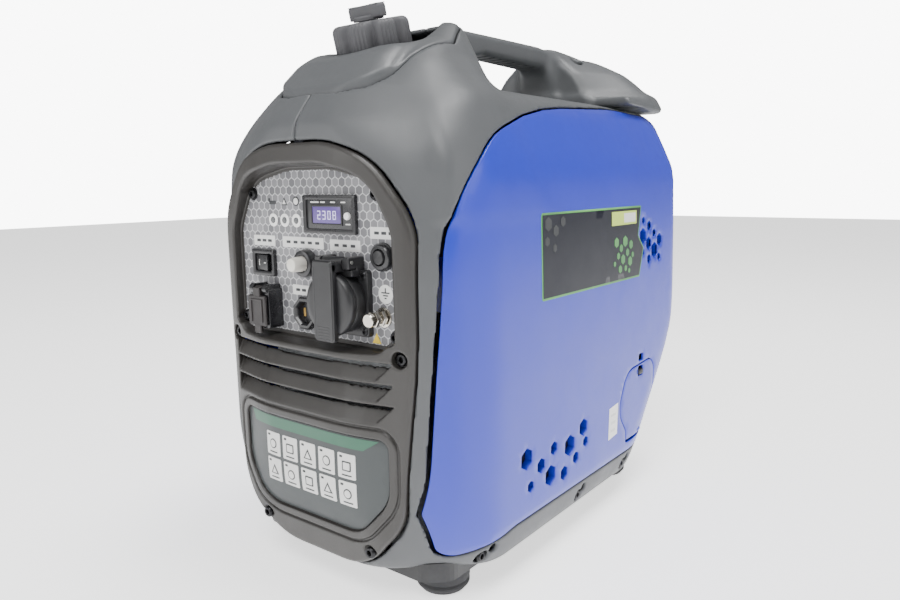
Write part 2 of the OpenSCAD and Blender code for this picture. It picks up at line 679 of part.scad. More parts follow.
module muffler() color(steel) difference() {
    union() {
        translate([0, 177.5, 0]) prism_y(mirrored([[68, 214, 20], [68, 296, 20]]), 47);
        // bracket to the crankcase
        block([12, 98.1, 118], [24, 175, 130]);
        block([12, 163, 118], [24, 175, 216]);
    }
    translate([0, 177.5, 0]) prism_y(mirrored([[65.5, 216.5, 18], [65.5, 293.5, 18]]), 42);
    along_y([exhaust_at[0], 190, exhaust_at[1]], 12 + 0.02, 20);
}

// ---- engine and generator ----
crank = [28, 118];                  // y and z of the crankshaft's centre line
module engine_block() color(cast) difference() {
    union() {
        prism_x_between([[-42, 58, 10], [98, 58, 10], [98, 168, 20], [-30, 178, 20]], 6, 84);
        translate([45, crank[0] + 40, crank[1] + 34]) rotate([-50, 0, 0]) cylinder(r = 34, h = 60);
        // bearing boss that carries the stator
        along_x([-17.9, crank[0], crank[1]], 24, 25);
    }
    prism_x_between([[-34, 66, 8], [90, 66, 8], [90, 160, 14], [-24, 168, 14]], 14, 76);
    along_x([-20, crank[0], crank[1]], shaft_r + fit, 100);
    translate([45, crank[0] + 40, crank[1] + 34]) rotate([-50, 0, 0]) cylinder(r = 26, h = 61);
    along_x([70, 88, 80], 8, 30);
}
module prism_x_between(c, x0, x1) translate([(x0 + x1) / 2, 0, 0]) prism_x(c, x1 - x0);
module cylinder_head() color(cast)
    translate([45, crank[0] + 40, crank[1] + 34]) rotate([-50, 0, 0]) translate([0, 0, 60]) {
        cylinder(r = 36, h = 12);
        for (z = [15:6:27]) translate([0, 0, z]) cylinder(r = 34, h = 2.5);
        translate([0, 0, 11]) cylinder(r = 22, h = 20);
    }
module spark_plug() color("white")
    translate([45, crank[0] + 40, crank[1] + 34]) rotate([-50, 0, 0]) translate([0, 0, 91]) {
        cylinder(r = 7, h = 5, $fn = 6);
        cylinder(r = 4.5, h = 16);
    }
module oil_filler_cap() color(black) difference() {
    union() {
        along_x([84, 88, 80], 13, 12);
        along_x([70, 88, 80], 7.6, 15);
    }
    block([94, 76, 78], [98, 100, 82]);
}
module crankshaft() color(steel) {
    along_x([-78, crank[0], crank[1]], shaft_r, 100);
    along_x([16, crank[0], crank[1]], 34, 10);
}
module flywheel_fan() color(mid_grey) difference() {
    union() {
        along_x([-62, crank[0], crank[1]], fan_r - 12, 6);
        along_x([-62, crank[0], crank[1]], fan_r - 16, 44);
        for (i = [0:15]) translate([-56, crank[0], crank[1]]) rotate([i * 22.5, 0, 0])
            block([-5.4, -1.5, fan_r - 18], [10, 1.5, fan_r]);
    }
    along_x([-56, crank[0], crank[1]], fan_r - 20, 50);
    along_x([-70, crank[0], crank[1]], shaft_r + 0.02, 20);
}
module stator() color([0.6, 0.35, 0.15]) difference() {
    along_x([-50, crank[0], crank[1]], fan_r - 24, 32);
    along_x([-60, crank[0], crank[1]], shaft_r + 6, 60);
}
module inverter_module() color(cast) {
    block([-80, -176, under_z + 4.01], [80, -168, 190]);
    for (x = [-78:12:78]) block([x - 1, -168, under_z + 4.01], [x + 1, -148, 190]);
}
module air_cleaner() color(black) prism_x_between([[-80, 190, 8], [-22, 190, 8], [-22, 282, 8],
    [-80, 282, 8]], 62, 118);
module carburettor() color(steel) {
    block([74, -21.9, 208], [104, 14, 238]);
    // intake manifold beside the crankcase
    block([84.1, 4, 150], [104, 30, 216]);
    along_y([89, 14, 223], 10, 16);
    along_x([104, -4, 223], 6, 8);
}
module recoil_housing() color(black) difference() {
    union() {
        along_x([-112, crank[0], crank[1]], fan_r, 30);
        // leg that stands on the base tray
        block([-103, crank[0] - 16, under_z + 4.01], [-86, crank[0] + 16, 53]);
    }
    along_x([-108, crank[0], crank[1]], fan_r - 4, 30);
    for (i = [0:11]) translate([-112, crank[0], crank[1]]) rotate([i * 30, 0, 0])
        translate([0, 0, 48]) rotate([0, 90, 0]) cylinder(r = 7, h = 10, center = true);
}
module recoil_pulley() color([0.2, 0.2, 0.22]) {
    along_x([-104, crank[0], crank[1]], pulley_r + 4, 3);
    along_x([-101, crank[0], crank[1]], pulley_r, 5);
    along_x([-96, crank[0], crank[1]], pulley_r + 4, 3);
}
module recoil_grip() color(black) {
    block([cup[0] + 5, cup[1] - 22, cup[2] - 6], [cup[0] + 17, cup[1] + 22, cup[2] + 6]);
    along_x([cup[0] + 16, cup[1], cup[2]], 5, 6);
}
module starter_rope() color("ivory") along_x([cup[0] + 22, cup[1], cup[2]], 2, 122);
module rope_guide() color(black) difference() {
        block(cup - [-2, cup_size[1] / 2, cup_size[2] / 2],
              cup + [cup_size[0], cup_size[1] / 2, cup_size[2] / 2]);
        block(cup - [10, cup_size[1] / 2 - 2, cup_size[2] / 2 - 2],
              cup + [cup_size[0] - 2.5, cup_size[1] / 2 - 2, cup_size[2] / 2 - 2]);
        along_x(cup, 2.6, 60);
}
module switch_bezel() color(black) difference() {
    along_x(knob + [0.6, 0, 0], knob_r + 6, 11);
    along_x(knob - [1, 0, 0], knob_r + 3.5, 10);
    along_x(knob, 4 + fit, 40);
}
module engine_switch_knob() color(black) {
    along_x(knob + [4, 0, 0], knob_r, 4.4);
    block(knob + [1, -knob_r + 2, -4], knob + [5, knob_r - 2, 4]);
    along_x(knob + [8, 0, 0], 4, 12);
}
module engine_mounts() color([0.1, 0.1, 0.1]) for (x = [18, 72], y = [-28, 84])
    translate([x, y, under_z + 4.01]) cylinder(r = 9, h = 58 - under_z - 4.02);

right_shell();
left_shell();
right_side_panel();
left_side_panel();
front_bezel();
rear_cover();
base_tray();
filler_deck();
carry_handle();
instruction_plate();
control_panel();
display_housing();
display_window();
mode_button();
indicator_lamps();
eco_switch_body();
eco_rocker();
breaker_body();
breaker_button();
dc_socket();
port_housing();
port_cover();
ac_socket_base();
ac_socket_lid();
lid_hinge_pin();
reset_button_body();
reset_button();
ground_terminal();
panel_screws();
bezel_screws();
sill_screws();
handle_screws();
fuel_cap_liner();
fuel_cap();
vent_lever();
fuel_tank();
engine_block();
cylinder_head();
spark_plug();
oil_filler_cap();
muffler();
exhaust_outlet();
crankshaft();
flywheel_fan();
stator();
inverter_module();
air_cleaner();
carburettor();
recoil_housing();
recoil_pulley();
recoil_grip();
starter_rope();
rope_guide();
engine_mounts();
feet();
oil_door();
oil_door_latch();
engine_switch_knob();
switch_bezel();
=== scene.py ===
import bmesh
import bpy
import math
import numpy as np
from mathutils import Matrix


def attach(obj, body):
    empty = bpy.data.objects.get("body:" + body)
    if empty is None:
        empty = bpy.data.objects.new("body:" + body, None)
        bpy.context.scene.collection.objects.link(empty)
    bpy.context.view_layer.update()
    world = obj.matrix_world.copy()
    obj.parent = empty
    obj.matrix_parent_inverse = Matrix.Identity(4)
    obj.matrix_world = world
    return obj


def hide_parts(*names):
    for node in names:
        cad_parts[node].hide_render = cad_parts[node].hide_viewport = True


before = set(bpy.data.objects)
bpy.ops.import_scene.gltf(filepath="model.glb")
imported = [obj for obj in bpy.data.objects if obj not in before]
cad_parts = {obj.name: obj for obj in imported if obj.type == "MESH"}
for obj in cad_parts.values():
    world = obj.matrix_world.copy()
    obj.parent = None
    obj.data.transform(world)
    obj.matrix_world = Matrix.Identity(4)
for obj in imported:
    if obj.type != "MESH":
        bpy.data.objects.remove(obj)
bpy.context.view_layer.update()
import openvdb
from mathutils import Matrix, Vector, geometry

MM = 0.001

# ------------------------------------------------------------------ camera, light, floor
def camera():
    yaw, pitch, roll = (math.radians(a) for a in (37.436, 9.567, -0.707))
    fwd = Vector((-math.sin(yaw) * math.cos(pitch), math.cos(yaw) * math.cos(pitch), -math.sin(pitch)))
    right = Vector((math.cos(yaw), math.sin(yaw), 0))
    up = right.cross(fwd)
    r = right * math.cos(roll) + up * math.sin(roll)
    u = up * math.cos(roll) - right * math.sin(roll)
    data = bpy.data.cameras.new("camera")
    data.lens = 29.16
    data.sensor_width = 36
    data.shift_x = -7.3 / 900
    data.shift_y = 5.1 / 900
    cam = bpy.data.objects.new("camera", data)
    bpy.context.scene.collection.objects.link(cam)
    m = Matrix((r, u, -fwd)).transposed().to_4x4()
    m.translation = Vector((0.4330, -0.5826, 0.3262))
    cam.matrix_world = m
    bpy.context.scene.camera = cam

def area(name, at, look, size, power, colour=(1, 1, 1)):
    data = bpy.data.lights.new(name, "AREA")
    data.shape = "DISK"
    data.size = size
    data.energy = power
    data.color = colour
    o = bpy.data.objects.new(name, data)
    bpy.context.scene.collection.objects.link(o)
    o.location = at
    o.rotation_euler = (Vector(look) - Vector(at)).to_track_quat("-Z", "Y").to_euler()

def studio():
    world = bpy.data.worlds.new("studio")
    world.use_nodes = True
    wt = world.node_tree
    seen, lit = wt.nodes["Background"], wt.nodes.new("ShaderNodeBackground")
    seen.inputs[0].default_value = lit.inputs[0].default_value = (1, 1, 1, 1)
    seen.inputs[1].default_value = 9.0
    lit.inputs[1].default_value = 0.36
    path, mix = wt.nodes.new("ShaderNodeLightPath"), wt.nodes.new("ShaderNodeMixShader")
    wt.links.new(path.outputs["Is Camera Ray"], mix.inputs[0])
    wt.links.new(lit.outputs[0], mix.inputs[1])
    wt.links.new(seen.outputs[0], mix.inputs[2])
    wt.links.new(mix.outputs[0], wt.nodes["World Output"].inputs[0])
    bpy.context.scene.world = world
    area("key", (0.5, -1.3, 2.1), (0.0, -0.05, 0.3), 1.1, 40)
    area("side", (2.2, 0.3, 1.1), (0.1, 0, 0.25), 1.4, 13)
    area("front", (-1.0, -2.0, 0.9), (0, -0.2, 0.25), 1.2, 15)
    area("top", (0.5, 0.3, 2.3), (0, 0, 0.4), 1.0, 44)
    mesh = bpy.data.meshes.new("floor")
    s = 6.0
    mesh.from_pydata([(-s, -s, 0), (s, -s, 0), (s, s, 0), (-s, s, 0)], [], [(0, 1, 2, 3)])
    floor = bpy.data.objects.new("floor", mesh)
    bpy.context.scene.collection.objects.link(floor)
    m = bpy.data.materials.new("floor_pale")
    m.use_nodes = True
    b = m.node_tree.nodes["Principled BSDF"]
    b.inputs["Base Color"].default_value = (0.93, 0.93, 0.93, 1)
    b.inputs["Roughness"].default_value = 0.9
    b.inputs["Emission Color"].default_value = (1, 1, 1, 1)
    b.inputs["Emission Strength"].default_value = 1.3
    floor.data.materials.append(m)

camera()
studio()

# ------------------------------------------------------------------ materials
def lin(c):
    """Linear colour from 0-255 values."""
    return [((v / 255 + 0.055) / 1.055) ** 2.4 if v > 10 else v / 255 / 12.92 for v in c] + [1.0]

def material(name, rgb, rough=0.5, vary=0.12, grain=900, bump=0.25, speck=0.05, metal=0.0, wear=0.25,
             coat=0.0, spec=0.5, scratch=0.0, rgb2=None, alpha=1.0, emit=0.0, pattern=None):
    m = bpy.data.materials.new(name)
    m.use_nodes = True
    nt = m.node_tree
    b = nt.nodes["Principled BSDF"]
    b.inputs["Metallic"].default_value = metal
    b.inputs["Coat Weight"].default_value = coat
    b.inputs["Coat Roughness"].default_value = 0.25
    b.inputs["Specular IOR Level"].default_value = spec
    b.inputs["Alpha"].default_value = alpha
    new = nt.nodes.new
    link = nt.links.new
    at = new("ShaderNodeTexCoord").outputs["Object"]

    def noise(scale, detail, rough_in=0.55):
        n = new("ShaderNodeTexNoise")
        n.inputs["Scale"].default_value = scale
        n.inputs["Detail"].default_value = detail
        n.inputs["Roughness"].default_value = rough_in
        link(at, n.inputs["Vector"])
        return n.outputs["Fac"]

    def spread(fac, lo, hi):
        n = new("ShaderNodeMapRange")
        n.inputs["From Min"].default_value = 0.3
        n.inputs["From Max"].default_value = 0.7
        n.inputs["To Min"].default_value = lo
        n.inputs["To Max"].default_value = hi
        link(fac, n.inputs["Value"])
        return n.outputs["Result"]

    broad = noise(9, 4)
    fine = noise(grain, 3, 0.7)
    dark = [v * (1 - speck) for v in lin(rgb)[:3]] + [1]
    light = [min(1, v * (1 + speck)) for v in (lin(rgb2) if rgb2 else lin(rgb))[:3]] + [1]
    mix = new("ShaderNodeMix")
    mix.data_type = "RGBA"
    link(spread(broad, 0, 1), mix.inputs[0])
    mix.inputs[6].default_value = dark
    mix.inputs[7].default_value = light
    colour = mix.outputs[2]
    if pattern:
        colour = pattern(nt, at, colour)
    if wear:
        geo = new("ShaderNodeNewGeometry")
        edge = new("ShaderNodeMapRange")
        edge.inputs["From Min"].default_value = 0.53
        edge.inputs["From Max"].default_value = 0.62
        edge.inputs["To Max"].default_value = wear
        link(geo.outputs["Pointiness"], edge.inputs["Value"])
        mul = new("ShaderNodeMath")
        mul.operation = "MULTIPLY"
        link(edge.outputs["Result"], mul.inputs[0])
        link(spread(noise(60, 5, 0.7), 0.2, 1), mul.inputs[1])
        worn = new("ShaderNodeMix")
        worn.data_type = "RGBA"
        link(mul.outputs[0], worn.inputs[0])
        link(colour, worn.inputs[6])
        worn.inputs[7].default_value = [min(1, v * 1.6 + 0.05) for v in lin(rgb)[:3]] + [1]
        colour = worn.outputs[2]
    link(colour, b.inputs["Base Color"])
    if emit:
        link(colour, b.inputs["Emission Color"])
        b.inputs["Emission Strength"].default_value = emit
    link(spread(noise(35, 6, 0.65), max(0.03, rough - vary), min(1, rough + vary)), b.inputs["Roughness"])
    bmp = new("ShaderNodeBump")
    bmp.inputs["Strength"].default_value = bump
    bmp.inputs["Distance"].default_value = 0.0004
    link(fine, bmp.inputs["Height"])
    last = bmp
    if scratch:
        s = new("ShaderNodeTexNoise")
        s.inputs["Scale"].default_value = 60
        s.inputs["Detail"].default_value = 4
        mp = new("ShaderNodeMapping")
        mp.inputs["Scale"].default_value = (1, 40, 40)
        link(at, mp.inputs["Vector"])
        link(mp.outputs["Vector"], s.inputs["Vector"])
        b2 = new("ShaderNodeBump")
        b2.inputs["Strength"].default_value = scratch
        b2.inputs["Distance"].default_value = 0.0004
        link(s.outputs["Fac"], b2.inputs["Height"])
        link(bmp.outputs["Normal"], b2.inputs["Normal"])
        last = b2
    link(last.outputs["Normal"], b.inputs["Normal"])
    return m

def hexagons(cell, line, lines_rgb, dark_rgb, share):
    """Printed hexagon pattern on a plane facing -Y: light outlines and some darker cells."""
    def paint(nt, at, base):
        new, link = nt.nodes.new, nt.links.new

        def vm(op, a, b=None, scale=None):
            n = new("ShaderNodeVectorMath")
            n.operation = op
            for i, v in enumerate((a, b)):
                if v is None:
                    continue
                if isinstance(v, (tuple, list)):
                    n.inputs[i].default_value = v
                else:
                    link(v, n.inputs[i])
            if scale is not None:
                n.inputs["Scale"].default_value = scale
            return n.outputs["Value"] if op in ("DOT_PRODUCT", "LENGTH") else n.outputs["Vector"]

        def fm(op, a, b=0.0):
            n = new("ShaderNodeMath")
            n.operation = op
            for i, v in enumerate((a, b)):
                if isinstance(v, (int, float)):
                    n.inputs[i].default_value = v
                else:
                    link(v, n.inputs[i])
            return n.outputs[0]

        p = vm("MULTIPLY", vm("SCALE", at, scale=1000 / cell), (1, 0, 1))
        s = (1.0, 1.0, math.sqrt(3))
        half = tuple(v / 2 for v in s)
        wrap = lambda v: vm("SUBTRACT", vm("MODULO", vm("ADD", v, (100.0, 0.0, 100 * s[2])), s), half)
        a = wrap(p)
        b = wrap(vm("ADD", p, half))
        flat = (1.0, 0.0, 1.0)
        a, b = vm("MULTIPLY", a, flat), vm("MULTIPLY", b, flat)
        pick = fm("LESS_THAN", vm("LENGTH", a), vm("LENGTH", b))
        sel = new("ShaderNodeMix")
        sel.data_type = "VECTOR"
        link(pick, sel.inputs[0])
        link(b, sel.inputs[4])
        link(a, sel.inputs[5])
        g = sel.outputs[1]
        ab = vm("ABSOLUTE", g)
        dist = fm("MAXIMUM", vm("DOT_PRODUCT", ab, (0.5, 0, 0.8660254)), vm("DOT_PRODUCT", ab, (1, 0, 0)))
        edge = fm("GREATER_THAN", dist, 0.5 - line)
        centre = vm("SUBTRACT", p, g)
        wn = new("ShaderNodeTexWhiteNoise")
        wn.noise_dimensions = "3D"
        link(vm("SNAP", vm("ADD", centre, (0.05, 0.0, 0.05)), (0.1, 0.1, 0.1)), wn.inputs["Vector"])
        m1 = new("ShaderNodeMix")
        m1.data_type = "RGBA"
        link(fm("MULTIPLY", wn.outputs["Value"], share), m1.inputs[0])
        link(base, m1.inputs[6])
        m1.inputs[7].default_value = lin(dark_rgb)
        m2 = new("ShaderNodeMix")
        m2.data_type = "RGBA"
        link(edge, m2.inputs[0])
        link(m1.outputs[2], m2.inputs[6])
        m2.inputs[7].default_value = lin(lines_rgb)
        return m2.outputs[2]
    return paint

M = {
    "shell": material("shell_grey", (78, 80, 82), 0.46, 0.07, 1400, 0.22, 0.03, wear=0.15),
    "bezel": material("bezel_brown_grey", (47, 45, 43), 0.4, 0.07, 1400, 0.16, 0.04, wear=0.18),
    "blue": material("panel_blue", (30, 46, 178), 0.34, 0.05, 1600, 0.07, 0.03, wear=0.12, coat=0.15),
    "black": material("black_plastic", (24, 24, 26), 0.45, 0.1, 1200, 0.2, 0.08, wear=0.3),
    "gloss": material("gloss_black", (24, 24, 27), 0.28, 0.08, 900, 0.06, 0.08, wear=0.25, coat=0.2),
    "lid": material("lid_black", (28, 28, 30), 0.38, 0.08, 1200, 0.14, 0.06, wear=0.3),
    "cap": material("cap_grey", (74, 74, 77), 0.62, 0.08, 1000, 0.5, 0.05, wear=0.25),
    "foot": material("foot_rubber", (48, 48, 50), 0.72, 0.1, 900, 0.4, 0.06, wear=0.2),
    "rubber": material("black_rubber", (30, 30, 31), 0.75, 0.1, 900, 0.4, 0.08, wear=0.2),
    "flap": material("flap_brown", (34, 30, 30), 0.5, 0.1, 1200, 0.25, 0.05, wear=0.25),
    "screw": material("black_screw", (38, 38, 40), 0.35, 0.1, 800, 0.1, 0.1, metal=0.8, wear=0.5),
    "steel": material("steel", (176, 176, 172), 0.32, 0.1, 700, 0.08, 0.05, metal=1, wear=0.2, scratch=0.15),
    "nickel": material("nickel", (205, 200, 190), 0.2, 0.08, 700, 0.05, 0.05, metal=1, wear=0.2),
    "brass": material("brass", (196, 160, 92), 0.3, 0.1, 700, 0.08, 0.06, metal=1, wear=0.2),
    "copper": material("copper", (190, 112, 62), 0.35, 0.1, 500, 0.3, 0.1, metal=1, wear=0.2),
    "cast": material("casting", (150, 152, 154), 0.55, 0.12, 500, 0.6, 0.08, metal=0.9, wear=0.3),
    "heat": material("heat_tinted_steel", (120, 112, 104), 0.4, 0.12, 500, 0.25, 0.15, metal=1, wear=0.3,
                     rgb2=(146, 118, 88)),
    "fan": material("fan_casting", (112, 114, 116), 0.5, 0.12, 500, 0.4, 0.08, metal=0.6, wear=0.3),
    "ceramic": material("ceramic", (226, 222, 212), 0.22, 0.05, 600, 0.05, 0.03, wear=0.1),
    "cord": material("cord", (206, 200, 180), 0.85, 0.08, 1500, 0.8, 0.15, wear=0.1),
    "panel": material("printed_panel", (132, 132, 135), 0.4, 0.06, 1200, 0.06, 0.03, wear=0,
                      pattern=hexagons(7.0, 0.055, (186, 186, 188), (84, 84, 88), 0.8)),
    "plate": material("plate_dark", (52, 57, 58), 0.42, 0.06, 1200, 0.08, 0.05, wear=0.1),
    "band": material("plate_band", (42, 92, 70), 0.42, 0.06, 1200, 0.08, 0.05, wear=0.1),
    "card": material("light_card", (216, 216, 214), 0.5, 0.08, 900, 0.08, 0.03, wear=0),
    "white": material("white_print", (238, 238, 236), 0.45, 0.08, 900, 0.08, 0.02, wear=0),
    "ink": material("dark_ink", (46, 48, 50), 0.5, 0.08, 900, 0.08, 0.05, wear=0),
    "navy": material("label_navy", (24, 26, 36), 0.34, 0.06, 900, 0.05, 0.1, wear=0, spec=0.25),
    "green": material("label_green", (62, 128, 70), 0.4, 0.08, 900, 0.05, 0.15, wear=0, rgb2=(96, 170, 84)),
    "chart": material("label_chartreuse", (190, 214, 90), 0.4, 0.08, 900, 0.05, 0.05, wear=0),
    "lcd": material("display_violet", (84, 64, 128), 0.2, 0.05, 900, 0.03, 0.06, wear=0, rgb2=(98, 84, 150),
                    emit=0.25),
    "digit": material("display_digit", (206, 200, 236), 0.3, 0.05, 900, 0.03, 0.02, wear=0, emit=0.6),
    "clear": material("breaker_clear", (226, 222, 212), 0.22, 0.06, 700, 0.08, 0.08, wear=0.1,
                      rgb2=(238, 236, 230), coat=0.3),
    "red": material("red_mark", (196, 52, 44), 0.4, 0.06, 900, 0.05, 0.05, wear=0),
    "yellow": material("yellow_mark", (232, 200, 40), 0.45, 0.06, 900, 0.05, 0.05, wear=0),
    "lamp": material("lamp_lens", (96, 98, 100), 0.2, 0.05, 900, 0.04, 0.05, wear=0, coat=0.3),
    # dark colour of the sheets behind the vents, the top seam and the oil door notch: painted shade where the
    # inside of the case lies in shade
    "dark": material("painted_shade_dark", (15, 18, 38), 0.7, 0.1, 600, 0.3, 0.1, wear=0),
}

# ------------------------------------------------------------------ outlines and distance fields (mm)
def mirrored(c):
    """Corners and their mirror image, as one outline."""
    return c + [[-u, v, r] for u, v, r in reversed(c)]

def rounded(c, step=7):
    """Points of an outline whose corners [u, v, radius] are arcs."""
    out = []
    for i in range(len(c)):
        p = np.array(c[i][:2], float)
        a = np.array(c[i - 1][:2]) - p
        b = np.array(c[(i + 1) % len(c)][:2]) - p
        a, b = a / np.linalg.norm(a), b / np.linalg.norm(b)
        half = math.acos(max(-1, min(1, float(a @ b)))) / 2
        r = c[i][2]
        m = p + (a + b) / np.linalg.norm(a + b) * r / math.sin(half)
        s, e = p + a * r / math.tan(half) - m, p + b * r / math.tan(half) - m
        a0 = math.atan2(s[1], s[0])
        sweep = (math.atan2(e[1], e[0]) - a0 + math.pi) % (2 * math.pi) - math.pi
        n = max(1, math.ceil(abs(math.degrees(sweep)) / step))
        out += [m + r * np.array([math.cos(a0 + sweep * k / n), math.sin(a0 + sweep * k / n)])
                for k in range(n + 1)]
    return np.array(out)

def ring_distance(pts, u, v):
    """Signed distance to a closed polygon, negative inside."""
    best = np.full(np.broadcast(u, v).shape, 1e9)
    inside = np.zeros(best.shape, bool)
    for (x0, y0), (x1, y1) in zip(pts, np.roll(pts, -1, 0)):
        ex, ey = x1 - x0, y1 - y0
        t = np.clip(((u - x0) * ex + (v - y0) * ey) / max(ex * ex + ey * ey, 1e-9), 0, 1)
        best = np.minimum(best, (u - x0 - t * ex) ** 2 + (v - y0 - t * ey) ** 2)
        if y0 != y1:
            inside ^= ((y0 > v) != (y1 > v)) & (u < ex * (v - y0) / ey + x0)
    d = np.sqrt(best)
    return np.where(inside, -d, d)

class Outline:
    """Distance to a rounded outline, tabled on a grid and read by linear interpolation."""
    def __init__(self, corners, cell=1.25, pad=70):
        self.pts = rounded(corners)
        self.lo = self.pts.min(0) - pad
        n = np.ceil((self.pts.max(0) + pad - self.lo) / cell).astype(int) + 2
        u = self.lo[0] + cell * np.arange(n[0])[:, None]
        v = self.lo[1] + cell * np.arange(n[1])[None, :]
        self.d = ring_distance(self.pts, u, v)
        self.cell = cell

    def __call__(self, u, v):
        a = np.clip((u - self.lo[0]) / self.cell, 0, self.d.shape[0] - 1.001)
        b = np.clip((v - self.lo[1]) / self.cell, 0, self.d.shape[1] - 1.001)
        i, j = a.astype(int), b.astype(int)
        s, t = a - i, b - j
        d = self.d
        return ((d[i, j] * (1 - s) + d[i + 1, j] * s) * (1 - t)
                + (d[i, j + 1] * (1 - s) + d[i + 1, j + 1] * s) * t)

def smax(a, b, k):
    """Intersection of two distance fields with a rounded edge."""
    return np.maximum(a, b) + np.maximum(k - np.abs(a - b), 0) ** 2 / (4 * k)

def smin(a, b, k):
    """Union of two distance fields with a blended joint."""
    return -smax(-a, -b, k)

FRONT_Y, REAR_Y, FACE_Y = -218, 219, -201
PLAN = Outline(mirrored([[44, FRONT_Y, 160], [103, FRONT_Y + 13, 40], [126, FRONT_Y + 32, 30],
    [137, FRONT_Y + 76, 60], [137.8, 10, 400], [137.8, 196, 16], [132, 214, 10], [94, REAR_Y, 30]]))
SIDE = Outline([[-204, 18, 16], [164, 18, 12], [178, 42, 20], [198, 112, 80], [219, 200, 120],
    [215, 330, 90], [202, 410, 30], [-80, 408, 60], [-190, 401, 24], [-213, 372, 24],
    [-218, 338, 60], [-218, 90, 120]])
FRONT = Outline(mirrored([[126, 18, 8], [135, 58, 30], [138, 170, 160], [132, 338, 70],
    [108, 393, 40], [64, 412, 30]]))
HUMP_SIDE = Outline([[-186, 300, 3], [20, 300, 3], [10, 392, 20], [-22, 422, 30], [-38, 460, 14],
    [-66, 465, 16], [-104, 442, 30], [-150, 424, 20], [-186, 402, 8]])
HUMP_FRONT = Outline(mirrored([[126, 300, 3], [128, 334, 60], [108, 389, 40], [70, 426, 40],
    [46, 458, 16], [30, 465, 60]]))
COLLAR_SIDE = Outline([[-192, 380, 3], [-68, 380, 3], [-68, 456, 3], [-78, 456, 3], [-98, 441, 20],
    [-150, 431, 16], [-170, 422, 12], [-192, 398, 6]])
COLLAR_FRONT = Outline(mirrored([[61, 380, 3], [60, 404, 8], [48, 435, 10], [44, 470, 6]]))
BEZEL = Outline(mirrored([[52, 27, 60], [93, 74, 50], [105, 200, 300], [105, 300, 60],
    [72, 344, 60], [34, 357, 80]]))
WINDOW = Outline(mirrored([[76, 205, 12], [90, 216, 14], [89, 292, 30], [70, 330, 40], [26, 340, 60]]))
PLATE = Outline(mirrored([[54, 60, 34], [82, 92, 30], [82, 139, 8]]))
PANEL_C = [[-182, 42, 16], [-120, 52, 60], [144, 50, 10], [166, 66, 30], [190, 122, 60],
    [210, 200, 90], [208, 340, 60], [188, 393, 14], [110, 396, 200], [-60, 385, 400],
    [-150, 354, 105], [-188, 300, 110], [-194, 190, 200], [-199, 84, 12]]
PANEL = Outline(PANEL_C)
REAR = Outline(mirrored([[70, 78, 16], [96, 100, 20], [96, 352, 24], [70, 382, 24]]))
TRAY = Outline(mirrored([[92, -184, 14], [108, -168, 16], [108, 116, 16], [92, 132, 14]]))
DECK = Outline(mirrored([[24, -194, 30], [58, -180, 30], [61, -98, 18], [40, -60, 18]]))
GRIP_SIDE = Outline([[-34, 431, 3], [10, 446, 12], [122, 445, 14], [140, 408, 8], [203, 403, 4],
    [209, 438, 20], [192, 458, 30], [110, 469.4, 60], [-34, 465, 4]])
SADDLE_SIDE = Outline([[134, 402, 3], [203, 400, 4], [207, 432, 20], [192, 459, 24], [134, 466, 10]])
SADDLE_FRONT = Outline(mirrored([[112, 380, 2], [112, 401, 6], [104, 414, 14], [74, 440, 30],
    [40, 458, 30], [12, 467, 10]]))
DOOR_C = [[89, 61, 2], [137, 61, 2], [139, 75, 8], [156, 98, 24], [150, 140, 16], [84, 136, 24],
    [68, 98, 24], [87, 75, 8]]

SHOULDER = ((96.4, -172, 383), -56.4, 42)
HUMP_BACK = ((54, -42, 413), 35, 23.6)
FRONT_TOP = ((107, -202, 318), -48, 20)
FRONT_LOW = ((102, -205, 72), -48, -27)
REAR_LOW = ((124, 126, 35), 27, -20)

def leaning(x, y, z, p, heading, tilt):
    """Distance to a sloping plane through p, the same on both sides of the machine."""
    h, t = math.radians(heading), math.radians(tilt)
    return ((np.abs(x) - p[0]) * math.cos(h) * math.cos(t) + (y - p[1]) * math.sin(h) * math.cos(t)
            + (z - p[2]) * math.sin(t))

def housing(x, y, z):
    """Outer surface of the whole case."""
    ax = np.abs(x)
    plan = PLAN(ax, y)
    d = smax(SIDE(y, z), FRONT(ax, z), 20)
    d = smax(d, plan, 6)
    d = smax(d, leaning(x, y, z, *FRONT_TOP), 24)
    d = smax(d, leaning(x, y, z, *FRONT_LOW), 24)
    d = smax(d, leaning(x, y, z, *REAR_LOW), 10)
    hump = smax(smax(HUMP_SIDE(y, z), HUMP_FRONT(ax, z), 10), plan + 2, 10)
    hump = smax(hump, leaning(x, y, z, *HUMP_BACK), 10)
    return smax(smin(d, hump, 11), leaning(x, y, z, *SHOULDER), 16)

def bezel_front(x, y, z):
    """Front surface of the bezel, without the case's sloping shoulders."""
    return smax(PLAN(np.abs(x), y), SIDE(y, z), 3) - 1

def solve(fixed, u, v, field=housing, depth=0.0):
    """Point of a surface seen from the side (fixed=0) or the front (fixed=1)."""
    side = 1 if fixed == 0 else -1
    lo, hi = np.full(u.shape, 60.0 if fixed == 0 else 150.0), np.full(u.shape, 145.0 if fixed == 0 else 226.0)
    for _ in range(18):
        mid = (lo + hi) / 2
        d = field(mid, u, v) if fixed == 0 else field(u, -mid, v)
        lo, hi = np.where(d < -depth, mid, lo), np.where(d < -depth, hi, mid)
    m = (lo + hi) / 2 * side
    return np.stack([m, u, v], 1) if fixed == 0 else np.stack([u, m, v], 1)

def normals(f, p, e=0.6):
    """Outward directions of a field at points."""
    g = []
    for i in range(3):
        a, b = p.copy(), p.copy()
        a[:, i] += e
        b[:, i] -= e
        g.append(f(*a.T) - f(*b.T))
    g = np.stack(g, 1)
    return g / np.maximum(np.linalg.norm(g, axis=1), 1e-9)[:, None]

